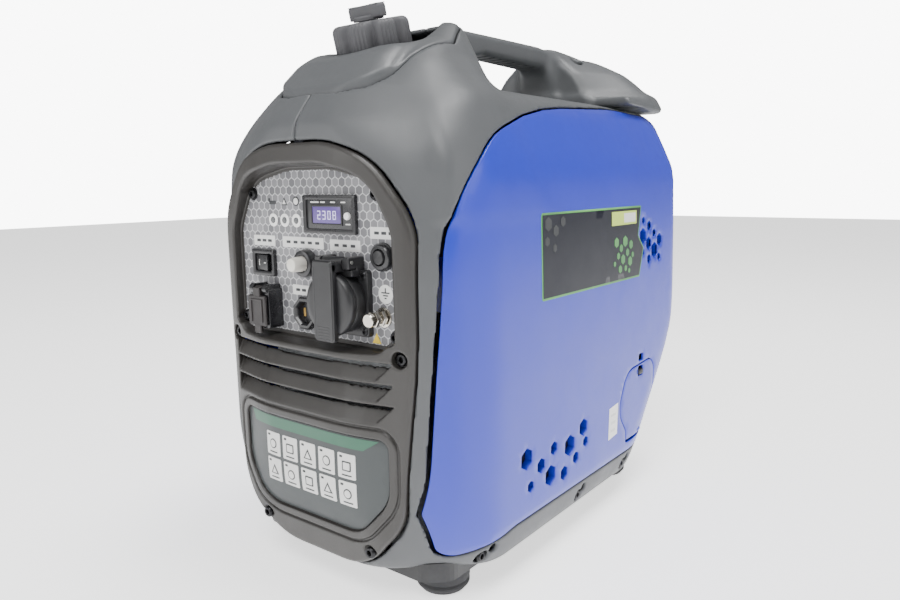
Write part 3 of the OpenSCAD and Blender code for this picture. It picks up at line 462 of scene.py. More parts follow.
# ------------------------------------------------------------------ making objects
def finish_mesh(name, verts, faces, mat, body, nodes, sharp=40, flip=False):
    """Make one object from millimetre points and put it on its body."""
    mesh = bpy.data.meshes.new(name)
    mesh.from_pydata([tuple(v) for v in np.asarray(verts) * MM], [], faces)
    mesh.validate()
    if flip:
        mesh.flip_normals()
    mesh.shade_smooth()
    if sharp:
        mesh.set_sharp_from_angle(angle=math.radians(sharp))
    mesh.materials.append(M[mat])
    o = bpy.data.objects.new(name, mesh)
    bpy.context.scene.collection.objects.link(o)
    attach(o, body)
    if nodes:
        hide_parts(*nodes)
    return o

def voxel_piece(name, f, lo, hi, h, mat, nodes=(), body="housing", mirror=False, steps=2):
    """Mesh of a distance field, its points pulled onto the surface."""
    lo, hi = np.array(lo, float), np.array(hi, float)
    n = np.ceil((hi - lo) / h).astype(int) + 1
    ax = [lo[i] + h * np.arange(n[i]) for i in range(3)]
    x, y, z = ax[0][:, None, None], ax[1][None, :, None], ax[2][None, None, :]
    d = np.broadcast_to(f(x, y, z), n).astype(np.float32)
    d = np.clip(d, -3 * h, 3 * h)
    d[0], d[-1], d[:, 0], d[:, -1], d[:, :, 0], d[:, :, -1] = (3 * h,) * 6
    grid = openvdb.FloatGrid(3 * h)
    grid.copyFromArray(d)
    pts, quads = grid.convertToQuads(0.0)
    p = np.asarray(pts, float) * h + lo
    for _ in range(steps):
        g = normals(f, p, 0.35)
        p = p - g * np.clip(f(*p.T), -0.5 * h, 0.5 * h)[:, None]
    q = np.asarray(quads)
    a, b, c = p[q[:, 0]], p[q[:, 1]], p[q[:, 2]]
    fl = np.einsum("ij,ij->i", np.cross(b - a, c - a), normals(f, (a + c) / 2)).sum() < 0
    o = finish_mesh(name, p, q.tolist(), mat, body, nodes, 0, fl)
    if mirror:
        pm = p * [-1, 1, 1]
        finish_mesh(mirror[0], pm, q.tolist(), mat, body, mirror[1], 0, not fl)
    return o

def offset(pts, s):
    """Ring moved inwards by s (for a counter-clockwise ring)."""
    d = np.roll(pts, -1, 0) - np.roll(pts, 1, 0)
    d /= np.maximum(np.linalg.norm(d, axis=1), 1e-9)[:, None]
    return pts + s * np.stack([-d[:, 1], d[:, 0]], 1)

def thin(pts, gap=0.4):
    """Ring without points closer together than a gap."""
    keep = [pts[0]]
    for p in pts[1:]:
        if np.linalg.norm(p - keep[-1]) > gap:
            keep.append(p)
    if np.linalg.norm(keep[-1] - keep[0]) < gap:
        keep.pop()
    return np.array(keep)

def counter_clockwise(ring):
    ring = np.array(ring, float)
    area = np.sum(ring[:, 0] * np.roll(ring[:, 1], -1) - np.roll(ring[:, 0], -1) * ring[:, 1])
    return ring if area > 0 else ring[::-1]

def dense(pts, gap):
    """Ring with points no more than about a gap apart."""
    out = []
    for a, b in zip(pts, np.roll(pts, -1, 0)):
        n = max(1, int(np.linalg.norm(b - a) / gap))
        out += [a + (b - a) * k / n for k in range(n)]
    return np.array(out)

def skin(name, ring, mat, nodes=(), body="housing", holes=(), fixed=0, sign=1, lift=0.0, thick=2.4,
         lip=0.7, gap=7.0, field=housing):
    """Panel cut from the housing's surface: an outline in the side or front view with rounded edges."""
    lips = [(0, lip), (lip * 0.3, lip * 0.3), (lip, 0.0)] if lip else [(0, 0.0)]
    outer = dense(thin(ring), 4.0)
    rings, depth, pts, edges, first = [], [], [], [], []
    for kind, base in [(1, outer)] + [(-1, dense(thin(h), 2.0)) for h in holes]:
        for i, (s, t) in enumerate(lips):
            r = offset(base, s * kind)
            if i == 0:
                first.append((len(pts), len(r), kind))
            edges += [(len(pts) + k, len(pts) + (k + 1) % len(r)) for k in range(len(r))]
            pts += list(r)
            depth += [t] * len(r)
    lo, hi = outer.min(0), outer.max(0)
    gu, gv = np.meshgrid(np.arange(lo[0], hi[0], gap), np.arange(lo[1], hi[1], gap))
    gu[::2] += gap / 2
    gu, gv = gu.ravel(), gv.ravel()
    ok = ring_distance(outer, gu, gv) < -(lip + gap * 0.4)
    for h in holes:
        ok &= ring_distance(h, gu, gv) > lip + 1.5
    pts += list(np.stack([gu[ok], gv[ok]], 1))
    depth += [0.0] * int(ok.sum())
    out = geometry.delaunay_2d_cdt([Vector(p) for p in pts], edges, [], 0, 1e-5)
    uv = np.array([tuple(v) for v in out[0]])
    dep = np.array([depth[o[0]] if o else 0.0 for o in out[3]])
    tri = np.array([list(f) for f in out[2]])
    mid = uv[tri].mean(1)
    keep = ring_distance(outer, mid[:, 0], mid[:, 1]) < 0
    for h in holes:
        keep &= ring_distance(dense(thin(h), 2.0), mid[:, 0], mid[:, 1]) > 0
    tri = tri[keep]
    base = solve(fixed, uv[:, 0], uv[:, 1], field)
    nrm = normals(field, base)
    top = base - nrm * (dep - lift)[:, None]
    back = base - nrm * (thick - lift)
    n = len(uv)
    a, b, c = top[tri[0]]
    flip = np.cross(b - a, c - a) @ nrm[tri[0][0]] < 0
    faces = [list(t) for t in tri] + [[t[2] + n, t[1] + n, t[0] + n] for t in tri]
    index = {}
    for i, o in enumerate(out[3]):
        for k in o:
            index[k] = i
    for start, count, kind in first:
        for k in range(count):
            i, j = index[start + k], index[start + (k + 1) % count]
            faces.append([j, i, i + n, j + n] if kind > 0 else [i, j, j + n, i + n])
    verts = np.concatenate([top, back])
    if sign < 0:
        verts = verts * [-1, 1, 1]
    mesh_flip = bool(flip) != (sign < 0)
    o = finish_mesh(name, verts, faces, mat, body, nodes, 50, mesh_flip)
    weld(o)
    return o

def weld(o):
    """Join doubled points and face every side outwards."""
    bm = bmesh.new()
    bm.from_mesh(o.data)
    bmesh.ops.remove_doubles(bm, verts=bm.verts, dist=1e-7)
    bmesh.ops.recalc_face_normals(bm, faces=bm.faces)
    bm.to_mesh(o.data)
    bm.free()

def circle(r, n=40, c=(0, 0), start=0.0):
    t = np.arange(n) * 2 * math.pi / n + start
    return np.stack([c[0] + r * np.cos(t), c[1] + r * np.sin(t)], 1)

def rect(u0, v0, u1, v1, r=1.0):
    return thin(rounded([[u0, v0, r], [u1, v0, r], [u1, v1, r], [u0, v1, r]], 18), 0.05)

class Build:
    """Collects lathed, extruded and boxed forms into one mesh."""
    def __init__(self):
        self.v, self.f = [], []

    def add(self, verts, faces):
        k = len(self.v)
        self.v += [tuple(p) for p in verts]
        self.f += [[i + k for i in f] for f in faces]
        return self

    def loft(self, rings, closed=True):
        n = len(rings[0])
        faces = [[r * n + i, r * n + (i + 1) % n, (r + 1) * n + (i + 1) % n, (r + 1) * n + i]
                 for r in range(len(rings) - 1) for i in range(n)]
        if closed:
            faces += [list(range(n))[::-1], [(len(rings) - 1) * n + i for i in range(n)]]
        return self.add(np.concatenate(rings), faces)

    def slab(self, ring, o, ux, uy, h0, h1, edge=0.4, back=0.0):
        """Outline extruded from h0 to h1 along ux x uy, its front edge rounded."""
        o, ux, uy = (np.array(v, float) for v in (o, ux, uy))
        n = np.cross(ux, uy)
        up = 1 if h1 > h0 else -1
        steps = [(back, h0), (0, h0 + up * back)] if back else [(0, h0)]
        steps += [(edge * (1 - math.cos(a)), h1 - up * edge * (1 - math.sin(a)))
                  for a in (0, math.pi / 6, math.pi / 3, math.pi / 2)] if edge else [(0, h1)]
        rings = []
        for s, h in steps:
            r = offset(ring, s)
            rings.append(o + r[:, :1] * ux + r[:, 1:] * uy + n * h)
        return self.loft(rings)

    def front(self, ring, y0, y1, edge=0.4):
        """Extrusion seen from the front: the ring is in x and z; y1 is the visible face."""
        return self.slab(ring, (0, 0, 0), (1, 0, 0), (0, 0, 1), -y0, -y1, edge)

    def lathe(self, profile, o, axis, n=48, start=0.0):
        o, w = np.array(o, float), np.array(axis, float)
        w /= np.linalg.norm(w)
        u = np.cross(w, (0, 0, 1.0)) if abs(w[2]) < 0.9 else np.cross(w, (0, 1.0, 0))
        u /= np.linalg.norm(u)
        v = np.cross(w, u)
        t = np.arange(n) * 2 * math.pi / n + start
        rings = [o + w * h + r * (np.cos(t)[:, None] * u + np.sin(t)[:, None] * v) for r, h in profile]
        return self.loft(rings)

    def box(self, lo, hi, r=1.0, axis=1):
        """Box with rounded sides and edges, extruded along an axis."""
        lo, hi = np.array(lo, float), np.array(hi, float)
        a, b = [(1, 2), (2, 0), (0, 1)][axis]
        ux, uy = np.eye(3)[a], np.eye(3)[b]
        ring = rect(lo[a], lo[b], hi[a], hi[b], r)
        e = min(r * 0.8, (hi[axis] - lo[axis]) * 0.45)
        return self.slab(ring, (0, 0, 0), ux, uy, lo[axis], hi[axis], e, e * 0.6)

    def make(self, name, mat, body="housing", slot=None, nodes=(), sharp=38):
        o = finish_mesh(name, self.v, self.f, mat, body, nodes, sharp)
        weld(o)
        o.data.shade_smooth()
        o.data.set_sharp_from_angle(angle=math.radians(sharp))
        return o

# ------------------------------------------------------------------ shells and covers
def shell(x, y, z):
    """Right half of the case, with its openings, seams and screw pockets."""
    d0 = housing(x, y, z)
    d = np.maximum(d0, -(d0 + 4))
    panel = PANEL(y, z)
    cut = smax(BEZEL(x, z) - 0.9, y + 150, 2)
    cut = np.minimum(cut, smax(REAR(x, z) - 0.9, 150 - y, 2))
    cut = np.minimum(cut, smax(panel - 0.9, np.maximum(-(d0 + 3.2), 40 - x), 1))
    cut = np.minimum(cut, np.maximum(panel + 9, 40 - x))
    cut = np.minimum(cut, np.maximum(TRAY(x, y) - 0.8, z - 60))
    cut = np.minimum(cut, np.maximum(DECK(x, y) - 0.9, 388 - z))
    seat = np.maximum(np.maximum(np.abs(x) - 18.9, -34.8 - y), np.maximum(y - 60, 415 - z))
    cut = np.minimum(cut, seat)
    cut = np.minimum(cut, np.maximum(133.2 - y, 399 - z))
    for s in SILL:
        hole = np.minimum(np.hypot(y - s, z - 36) - 5.4, np.hypot(y - s - 8, z - 42) - 3.6)
        cut = np.minimum(cut, np.maximum(hole, np.maximum(-(d0 + 3.6), 40 - x)))
    d = smax(d, -cut, 2.2)
    return smax(d, 0.3 - x, 1.4)

SILL = (-150, -4, 92)
voxel_piece("right_shell_skin", shell, (-4, -224, 12), (142, 224, 471), 1.9, "shell",
            ["right_shell"],
            mirror=("left_shell_skin", ["left_shell"]))

def hexagon(y, z, r, soft=0.9):
    c = [[y + r * math.sin(a), z + r * math.cos(a), min(soft, r * 0.3)]
         for a in [-math.pi * k / 3 for k in range(6)]]
    return thin(rounded(c, 30), 0.1)

UPPER = [[104, 262, 6.5], [118, 254, 4], [119, 270, 8], [133, 262, 6.5], [134, 280, 5], [147, 272, 4],
    [148, 254, 8], [134, 246, 4.5], [161, 264, 6.5], [160, 246, 4], [120, 286, 3.5]]
LOWER = [[-103, 104, 8.5], [-80, 91, 6], [-64, 77, 8.5], [-96, 78, 4.5], [-59, 100, 5.5],
    [-31, 94, 9], [-6, 104, 7.5], [-1, 89, 4.5], [-19, 79, 5], [-40, 71, 6]]
VENT_SIZE = 1.1
VENT_LIST = [(y, z, r * VENT_SIZE) for y, z, r in UPPER + LOWER]
VENTS = [hexagon(*v) for v in VENT_LIST]
PANEL_RING = thin(rounded(PANEL_C, 6), 0.4)
DOOR_RING = thin(rounded(DOOR_C, 6), 0.4)
STARTER_Y, STARTER_Z = -112, 214
SWITCH_Y, SWITCH_Z = -112, 130
CUP = rect(STARTER_Y - 31.5, STARTER_Z - 20.5, STARTER_Y + 31.5, STARTER_Z + 20.5, 5)
skin("right_panel", PANEL_RING, "blue", ["right_side_panel"],
     holes=VENTS + [offset(DOOR_RING, -0.9), rect(112.6, 141.6, 123.4, 149, 1.5)])
skin("left_panel", PANEL_RING, "blue", ["left_side_panel"], sign=-1,
     holes=VENTS + [CUP, circle(26.5, 48, (SWITCH_Y, SWITCH_Z))])

def door_ring(gap):
    r = offset(DOOR_RING, gap)
    return thin(np.stack([r[:, 0], np.maximum(r[:, 1], 63)], 1), 0.3)
skin("oil_door_cover", door_ring(0.0), "blue", ["oil_door"], body="oil_door",
     holes=[rect(112.2, 125.8, 123.8, 136.2, 1.5)])
b = Build()
for y in (101, 117):
    b.box((129.8, y, 66.5), (133.2, y + 8, 75), 1, 1)
    b.lathe([(0.3, 0), (2.1, 0), (2.4, 0.4), (2.4, 7.6), (2.1, 8), (0.3, 8)], (132, y, 66), (0, 1, 0), 24)
b.make("oil_door_pegs", "blue", "oil_door", "side_panel", ["oil_door"])
b = Build()
b.box((132.6, 112.9, 127.1), (136.7, 123.1, 132.4), 1.0, 0)
for k in range(3):
    b.box((136.3, 114, 128.2 + 1.3 * k), (137.1, 122, 128.8 + 1.3 * k), 0.25, 0)
b.box((128.2, 114, 123.2), (133, 122, 132.3), 0.6, 0)
b.make("oil_door_latch_slide", "lid", "oil_door_latch", "dark_plastic", ["oil_door_latch"])

# walls inside the vent holes, and dark sheets of painted shade behind them, standing in for the shaded inside
# of the case
SHADE_SHEETS = [rect(92, 236, 172, 296, 8), rect(-118, 62, 8, 118, 8)]
for side, name in ((1, "right"), (-1, "left")):
    tubes = Build()
    for y, z, r in VENT_LIST:
        rings = []
        for grow, depth in ((0, 0.9), (0, 7), (0.9, 7), (0.9, 2.3), (0, 0.9)):
            ring = hexagon(y, z, r + grow)
            base = solve(0, ring[:, 0], ring[:, 1])
            rings.append((base - normals(housing, base) * depth) * [side, 1, 1])
        n = min(len(ring) for ring in rings)
        tubes.loft([ring[:n] for ring in rings], closed=False)
    tubes.make(name + "_vent_walls", "blue", slot="side_panel", nodes=[name + "_side_panel"])
    for i, ring in enumerate(SHADE_SHEETS):
        # dark sheet of painted shade behind the vent holes
        skin("%s_vent_painted_shade_%d" % (name, i), ring, "dark", sign=side, lift=-7.6, thick=1.4,
             lip=0, gap=12)
# dark sheet behind the seam at the top of the bezel: painted shade, so no light shows through the seam
skin("seam_painted_shade", rect(-5, 346, 5, 390, 2), "dark", fixed=1, lift=-4.4, thick=1.4, lip=0,
     gap=6)
# dark sheet behind the notch above the oil door: painted shade in the opening
skin("oil_door_notch_painted_shade", rect(109, 139.5, 127, 152, 2), "dark", lift=-4.4, thick=1.2, lip=0,
     gap=12)

# ------------------------------------------------------------------ front bezel
def louvres(x, z, depth):
    """Three sloping grooves under the control panel."""
    cut = 99.0
    for low in (183, 167, 151):
        blade = (depth - 0.56 * (z - low)) * 0.87
        right = (x - 72 - (z - low) * 1.05) * 0.69
        c = smax(np.maximum(blade, low - z), np.maximum(z - low - 15.2, np.maximum(-93 - x, right)), 0.8)
        cut = np.minimum(cut, c)
    return cut

BEZEL_SCREWS = [(-93, 201.5), (93, 201.5), (-61, 46), (61, 46)]
PANEL_SCREWS = [(-69, 318.7), (69, 318.7), (-85, 216), (85, 216)]
def bezel_y(x):
    return 4 + FRONT_Y + x * x / 750

def bezel(x, y, z):
    front = bezel_front(x, y, z)
    edge = BEZEL(x, z)
    rim = smax(smax(front, edge + 0.2, 3.2), -(front + 7), 1)
    hole = WINDOW(x, z)
    tube = smax(np.maximum(hole - 3.2, y - (FACE_Y + 12)), front + 1.6, 1)
    d = smin(rim, tube, 1.5)
    seat = np.maximum(np.maximum(PLATE(x, z) - 3, front + 4), -(front + 9))
    d = smin(d, seat, 1)
    lipped = smax(hole + 0.2, y - (FACE_Y - 0.1), 0.5)
    flare = hole - 2.6 + (y + 221) * 0.22
    d = smax(d, -np.minimum(lipped, np.maximum(flare, y + 206)), 2.2)
    d = np.maximum(d, -np.maximum(hole + 4, y - (FACE_Y + 40)))
    depth = -front
    d = smax(d, -louvres(x, z, depth), 0.9)
    plate = PLATE(x, z)
    d = smax(d, -smax(plate - 0.7, depth - 3.1, 0.5), 0.9)
    groove = np.maximum(np.abs(plate - 8.5) - 1.1, z - 150)
    d = smax(d, -np.maximum(groove, depth - 2.0), 1.2)
    for px, pz in BEZEL_SCREWS:
        r = np.hypot(x - px, z - pz)
        d = smax(d, -np.maximum(r - 6.2, y - bezel_y(px)), 1.2)
        d = np.maximum(d, -(r - 2.3))
    for px, pz in PANEL_SCREWS:
        r = np.hypot(x - px, z - pz)
        d = smax(d, -np.maximum(r - 5.2, y - (FACE_Y + 0.4)), 0.8)
    return d

voxel_piece("front_bezel_moulding", bezel, (-109, -222, 22), (109, -186, 361), 1.2, "bezel",
            ["front_bezel"])

# ------------------------------------------------------------------ filler deck
TILT = math.radians(15)
UP = np.array([0, -math.sin(TILT), math.cos(TILT)])
CAP = np.array([0.0, -124.0, 433.0])

def deck(x, y, z):
    ax = np.abs(x)
    collar = smax(smax(COLLAR_SIDE(y, z), COLLAR_FRONT(ax, z), 9), PLAN(ax, y) + 2, 8)
    collar = smax(collar, leaning(x, y, z, *SHOULDER) - 3, 8)
    form = smin(housing(x, y, z), collar, 3)
    d = smax(form, DECK(x, y), 1.6)
    d = np.maximum(d, 389.5 - z)
    height = (y - CAP[1]) * UP[1] + (z - CAP[2] + 6) * UP[2]
    around = np.hypot(x, np.maximum(np.abs(y + 108) - 16, 0)) - 35
    d = smax(d, -smax(around, -(height + 1.5), 3), 2.4)
    along = (y - CAP[1]) * UP[1] + (z - CAP[2]) * UP[2]
    py, pz = y - CAP[1] - along * UP[1], z - CAP[2] - along * UP[2]
    return np.maximum(d, -(np.sqrt(x * x + py * py + pz * pz) - 25.6))

voxel_piece("deck_collar", deck, (-66, -200, 386), (66, -54, 469), 1.1, "shell", ["filler_deck"])

# ------------------------------------------------------------------ carry handle
HANDLE_SCREWS = [(-34, 158), (34, 158)]
def handle(x, y, z):
    ax = np.abs(x)
    grip = smax(GRIP_SIDE(y, z), smax(ax - 18, z - 469.2, 10), 9)
    narrow = 1 + 0.8 * np.clip((185 - y) / 55, 0, 1) ** 1.5
    ridge = smax(SADDLE_SIDE(y, z), SADDLE_FRONT(ax * narrow, z), 9)
    shelf = smax(smax(SADDLE_SIDE(y, z), SADDLE_FRONT(ax, z), 4), z - 411, 4)
    saddle = smax(smin(ridge, shelf, 14), PLAN(ax, y) + 3, 8)
    d = smin(grip, saddle, 16)
    d = smax(d, -34 - y, 1)
    for px, py in HANDLE_SCREWS:
        r = np.hypot(x - px, y - py)
        d = smax(d, -np.maximum(r - 6.5, 428 - z), 2.5)
        d = np.maximum(d, -(r - 2.4))
    # ribs moulded under the grip
    ribs = np.maximum(np.abs(((y - 14) % 12) - 6) - 1.0, np.maximum(ax - 12, np.abs(y - 60) - 44))
    return smax(d, -np.maximum(ribs, z - 447.2), 1)

voxel_piece("handle_moulding", handle, (-116, -40, 396), (116, 214, 470), 1.4, "shell",
            ["carry_handle"])

# ------------------------------------------------------------------ rear cover and exhaust grille
BOSS = Outline(mirrored([[66, 196, 14], [74, 220, 16], [74, 286, 18], [60, 306, 18]]))
EXHAUST = (-52, 254)
REAR_SCREWS = ((-84, 340), (84, 340), (-84, 110), (84, 110))
REAR_SCREW_DEPTH = 2.6

def rear(x, y, z):
    d0 = housing(x, y, z)
    boss = BOSS(x, z)
    base = smax(np.maximum(d0, -(d0 + 4)), REAR(x, z) + 0.2, 2)
    base = np.maximum(base, -(boss + 4))
    out = smax(boss, y - 227.8, 5)
    boss_wall = np.maximum(out, np.maximum(-(smax(boss + 4, y - 224.4, 4)), 200 - y))
    d = smin(base, boss_wall, 2.5)
    cut = np.hypot(x - EXHAUST[0], z - EXHAUST[1]) - 15.2
    for zz in range(214, 289, 12):
        for a, b_ in ((-24, 10), (18, 62)):
            cut = np.minimum(cut, smax(np.abs(x - (a + b_) / 2) - (b_ - a) / 2, np.abs(z - zz - 3) - 3, 1.5))
    for zz in range(104, 177, 12):
        cut = np.minimum(cut, smax(np.abs(x) - 70, np.abs(z - zz - 3) - 3, 1.5))
    d = smax(d, -cut, 1.2)
    for px, pz in REAR_SCREWS:
        d = smax(d, -np.maximum(np.hypot(x - px, z - pz) - 6, -(d0 + REAR_SCREW_DEPTH)), 1.2)
    return d

voxel_piece("rear_cover_moulding", rear, (-100, 140, 74), (100, 230, 386), 1.6, "black",
            ["rear_cover"])
b = Build()
for px, pz in REAR_SCREWS:
    lo, hi = 120.0, 226.0
    for _ in range(20):
        mid = (lo + hi) / 2
        inside = housing(*(np.array([float(v)]) for v in (px, mid, pz)))[0] < -REAR_SCREW_DEPTH
        lo, hi = (mid, hi) if inside else (lo, mid)
    b.lathe([(0.2, -1), (4.4, -1), (4.4, 1.4), (3.6, 2.0), (2.2, 2.0), (2.0, 0.6), (0.2, 0.6)],
            (px, lo, pz), (0, 1, 0), 30)
b.make("rear_cover_screws", "screw", slot="screw", nodes=["rear_cover"])
b = Build()
b.lathe([(9.8, -30), (9.8, -1.0), (10.6, 0), (12.0, -0.4), (12.2, -1.6), (11.8, -30), (9.8, -30)],
        (EXHAUST[0], 226, EXHAUST[1]), (0, 1, 0), 40)
b.make("exhaust_pipe", "heat", slot="exhaust", nodes=["exhaust_outlet"])

# ------------------------------------------------------------------ fuel cap and vent lever
b = Build()
t = np.arange(256) * 2 * math.pi / 256
def cap_ring(r, h, amount):
    phase = (t * 8 / (2 * math.pi)) % 1.0
    gap = np.minimum(phase, 1 - phase) * 45
    notch = np.exp(-(gap / 6.5) ** 2) * 5.0
    flute = 0.3 * np.cos(t * 64) * (gap > 9)
    rr = r - amount * (notch - flute)
    return CAP + np.outer(rr * np.cos(t), [1, 0, 0]) + np.outer(rr * np.sin(t),
            [0, math.cos(TILT), math.sin(TILT)]) + UP * h
b.loft([cap_ring(r, h, a) for r, h, a in (
    (0.4, 19.4, 0), (27.2, 19.4, 0), (27.4, 0.4, 0), (28.2, 0, 0.2), (30.6, 0.1, 0.9), (31.5, 0.9, 1),
    (31.9, 3, 1), (31.9, 18, 1), (31.4, 20.6, 1), (30.2, 22.4, 0.9), (28.4, 23.5, 0.7), (26.6, 23.9, 0.4),
    (24.6, 23.9, 0.2), (23.8, 23.4, 0), (23.2, 22.3, 0), (13.5, 22.3, 0), (12.6, 22.8, 0), (12.2, 23.9, 0),
    (4.6, 23.9, 0), (4.4, 20.2, 0), (0.4, 20.2, 0))])
b.make("fuel_cap_lobed", "cap", "cap", "cap", ["fuel_cap"], 30)
b = Build()
across = np.array([0, math.cos(TILT), math.sin(TILT)])
b.slab(rounded([[-17, -5.6, 3.5], [-9, -6.5, 8], [9, -6.5, 8], [17, -5.6, 3.5], [17, 5.6, 3.5], [9, 6.5, 8],
                [-9, 6.5, 8], [-17, 5.6, 3.5]], 15), CAP, (1, 0, 0), across, 25.6, 36.2, 2.4, 0.8)
b.lathe([(0.3, 21), (3.9, 21), (3.9, 24.4), (12.2, 24.4), (12.6, 24.9), (12.4, 27), (11, 28.4),
         (0.3, 28.4)], CAP, UP, 48)
for s in (-1, 1):
    for k in range(4):
        c = CAP + np.array([1.0, 0, 0]) * s * (8.5 + 2.2 * k)
        b.slab(rect(-0.5, -5.6, 0.5, 5.6, 0.4), c, (1, 0, 0), across, 35.6, 36.35, 0.2)
b.make("vent_lever_bar", "cap", "vent_lever", "cap", ["vent_lever"], 34)

# ------------------------------------------------------------------ instruction plate
PLATE_RING = thin(PLATE.pts, 0.4)
def on_front(name, ring, mat, lift, thick=0.3, lip=0.0, gap=9.0, nodes=()):
    return skin(name, counter_clockwise(ring), mat, nodes, fixed=1, lift=lift, thick=thick,
                lip=lip, gap=gap, field=bezel_front)

on_front("instruction_plate_face", PLATE_RING, "plate", -2.0, 1.0, 0.5, 8, ["instruction_plate"])
on_front("instruction_band", [(-70, 128.5), (60, 128.5), (74, 137.6), (-74, 137.6)], "band", -1.8)
k = 0
for row in range(2):
    for col in range(5):
        u, v = -51.5 + 21.6 * col, 103.6 - 22.6 * row
        on_front("card_%d" % k, rect(u, v, u + 18, v + 20, 1.2), "card", -1.75, 0.3)
        marks = [rect(u + 2, v + 16.4, u + 5, v + 18.2, 0.4), rect(u + 4, v + 2.2, u + 14, v + 3.2, 0.3),
                 [circle(4.2, 20, (u + 9, v + 10)), rect(u + 4.5, v + 6, u + 13.5, v + 14, 1),
                  np.array([(u + 4, v + 6), (u + 14, v + 6), (u + 9, v + 14.5)])][(col + 2 * row) % 3]]
        for i, ring in enumerate(marks):
            on_front("card_mark_%d_%d" % (k, i), ring, "ink", -1.55, 0.3)
        inner = [circle(3.2, 20, (u + 9, v + 10)), rect(u + 5.6, v + 7.1, u + 12.4, v + 12.9, 0.6),
                 np.array([(u + 6, v + 7), (u + 12, v + 7), (u + 9, v + 12.2)])][(col + 2 * row) % 3]
        on_front("card_eye_%d" % k, inner, "card", -1.4, 0.3)
        k += 1

# ------------------------------------------------------------------ side label and sticker
def on_side(name, ring, mat, lift, thick=0.3, gap=6.0):
    return skin(name, counter_clockwise(ring), mat, lift=lift, thick=thick, lip=0, gap=gap)

LABEL = thin(rounded([[-80.5, 230.5, 2], [109, 230.5, 2], [119, 259, 2], [106, 272, 2], [113, 301, 2],
                      [-80.5, 301, 2]], 20), 0.2)
on_side("label_border", offset(LABEL, -0.2), "green", 0.2)
on_side("label_field", offset(LABEL, 1.6), "navy", 0.4)
on_side("label_box", rect(46, 284, 101, 297, 1), "chart", 0.6)
on_side("label_box_light", rect(72, 286, 98, 295, 0.8), "card", 0.8)
spots = [(56, 268, 5), (66, 262, 4), (75, 268, 5.5), (60, 255, 3.5), (70, 251, 5), (80, 257, 4),
         (88, 264, 4.5),
         (64, 242, 4), (76, 242, 3.2), (86, 248, 5), (92, 254, 3), (52, 248, 2.6), (84, 239, 2.6)]
for i, (y, z, r) in enumerate(spots):
    on_side("label_hex_%d" % i, hexagon(y, z, r, 0.3), "green", 0.6)
for i, (y, z, r) in enumerate([(-70, 292, 6), (-58, 286, 5), (-72, 278, 4), (-46, 293, 4.5),
                               (-60, 272, 3.6)]):
    on_side("label_hex_dim_%d" % i, hexagon(y, z, r, 0.3), "ink", 0.6)
on_side("side_sticker", [(47, 75), (66, 77), (66, 109), (47, 107)], "white", 0.2)
for i in range(3):
    on_side("side_sticker_mark_%d" % i, rect(51, 82 + 8 * i, 61, 84.5 + 8 * i, 0.5), "card", 0.4)

# ------------------------------------------------------------------ control panel: display and lamps
F = FACE_Y
BREAKER_AT = (-6, F, 265)
RESET_AT = (75, F, 274)
DC_AT = (-10, F, 225)
EARTH_AT = (74, F, 230)
PORT_PIN_AT = (-51, F - 13, 243)

def ring_frame(b, outer, inner, y0, y1, edge=0.5):
    """Frame seen from the front between two rings with the same number of points."""
    rings = []
    for ring, s, y in ((outer, 0, y0), (outer, 0, y1 + edge), (outer, edge * 0.3, y1 + edge * 0.3),
                       (outer, edge, y1),
                       (inner, -edge, y1), (inner, -edge * 0.3, y1 + edge * 0.3), (inner, 0, y1 + edge),
                       (inner, 0, y0), (outer, 0, y0)):
        r = offset(ring, s)
        rings.append(np.stack([r[:, 0], np.full(len(r), float(y)), r[:, 1]], 1))
    return b.loft(rings, closed=False)

def rr(u0, v0, u1, v1, r):
    return rounded([[u0, v0, r], [u1, v0, r], [u1, v1, r], [u0, v1, r]], 18)

b = Build()
ring_frame(b, rr(-6.5, 289, 50.5, 318, 1.6), rr(-2.5, 292.5, 46.5, 314.5, 1.0), F + 10, F - 2.9, 0.6)
b.front(rr(-4, 291, 48, 316, 1), F + 13, F - 1.9, 0.2)
ring_frame(b, rr(2.6, 295.2, 36.4, 310.8, 0.8), rr(4.2, 296.8, 34.8, 309.2, 0.5), F + 3, F - 2.6, 0.3)
b.make("display_frame", "gloss", slot="gloss_black", nodes=["display_housing"])
b = Build()
b.front(rr(4.2, 296.8, 34.8, 309.2, 0.5), F + 2, F - 2.2, 0.1)
b.make("display_lens", "lcd", slot="window", nodes=["display_window"])
SEGMENTS = {0: "abcdef", 2: "abged", 3: "abgcd", 8: "abcdefg"}
def digit(b, u, v, n, w=3.4, h=6.6, t=0.7):
    m = v + h / 2
    bars = {"a": (u, v + h - t, u + w, v + h), "g": (u, m - t / 2, u + w, m + t / 2),
            "d": (u, v, u + w, v + t),
            "f": (u, m, u + t, v + h), "b": (u + w - t, m, u + w, v + h), "e": (u, v, u + t, m),
            "c": (u + w - t, v, u + w, m)}
    for s in SEGMENTS[n]:
        a = bars[s]
        b.front(rr(a[0], a[1], a[2], a[3], 0.25), F - 2.1, F - 2.35, 0.05)
b = Build()
for i, n in enumerate((2, 3, 0, 8)):
    digit(b, 9.5 + 5.6 * i, 299.6, n)
b.make("display_digits", "digit", slot="window", nodes=["display_window"])
b = Build()
for i, w in enumerate((9, 5, 5, 5)):
    b.front(rr(2 + 11 * i, 312.1, 2 + 11 * i + w, 313.1, 0.3), F - 1.8, F - 2.05, 0.05)
b.front(rr(39.5, 296, 44.5, 296.9, 0.3), F - 1.8, F - 2.05, 0.05)
b.make("display_print", "card", slot="white_plastic")
b = Build()
b.lathe([(0.2, 0), (2.8, 0), (2.8, 2.3), (2.4, 3.0), (0.2, 3.2)], (42, F - 0.8, 302.5), (0, -1, 0), 32)
b.make("mode_key", "white", "mode_button", "white_plastic", ["mode_button"])

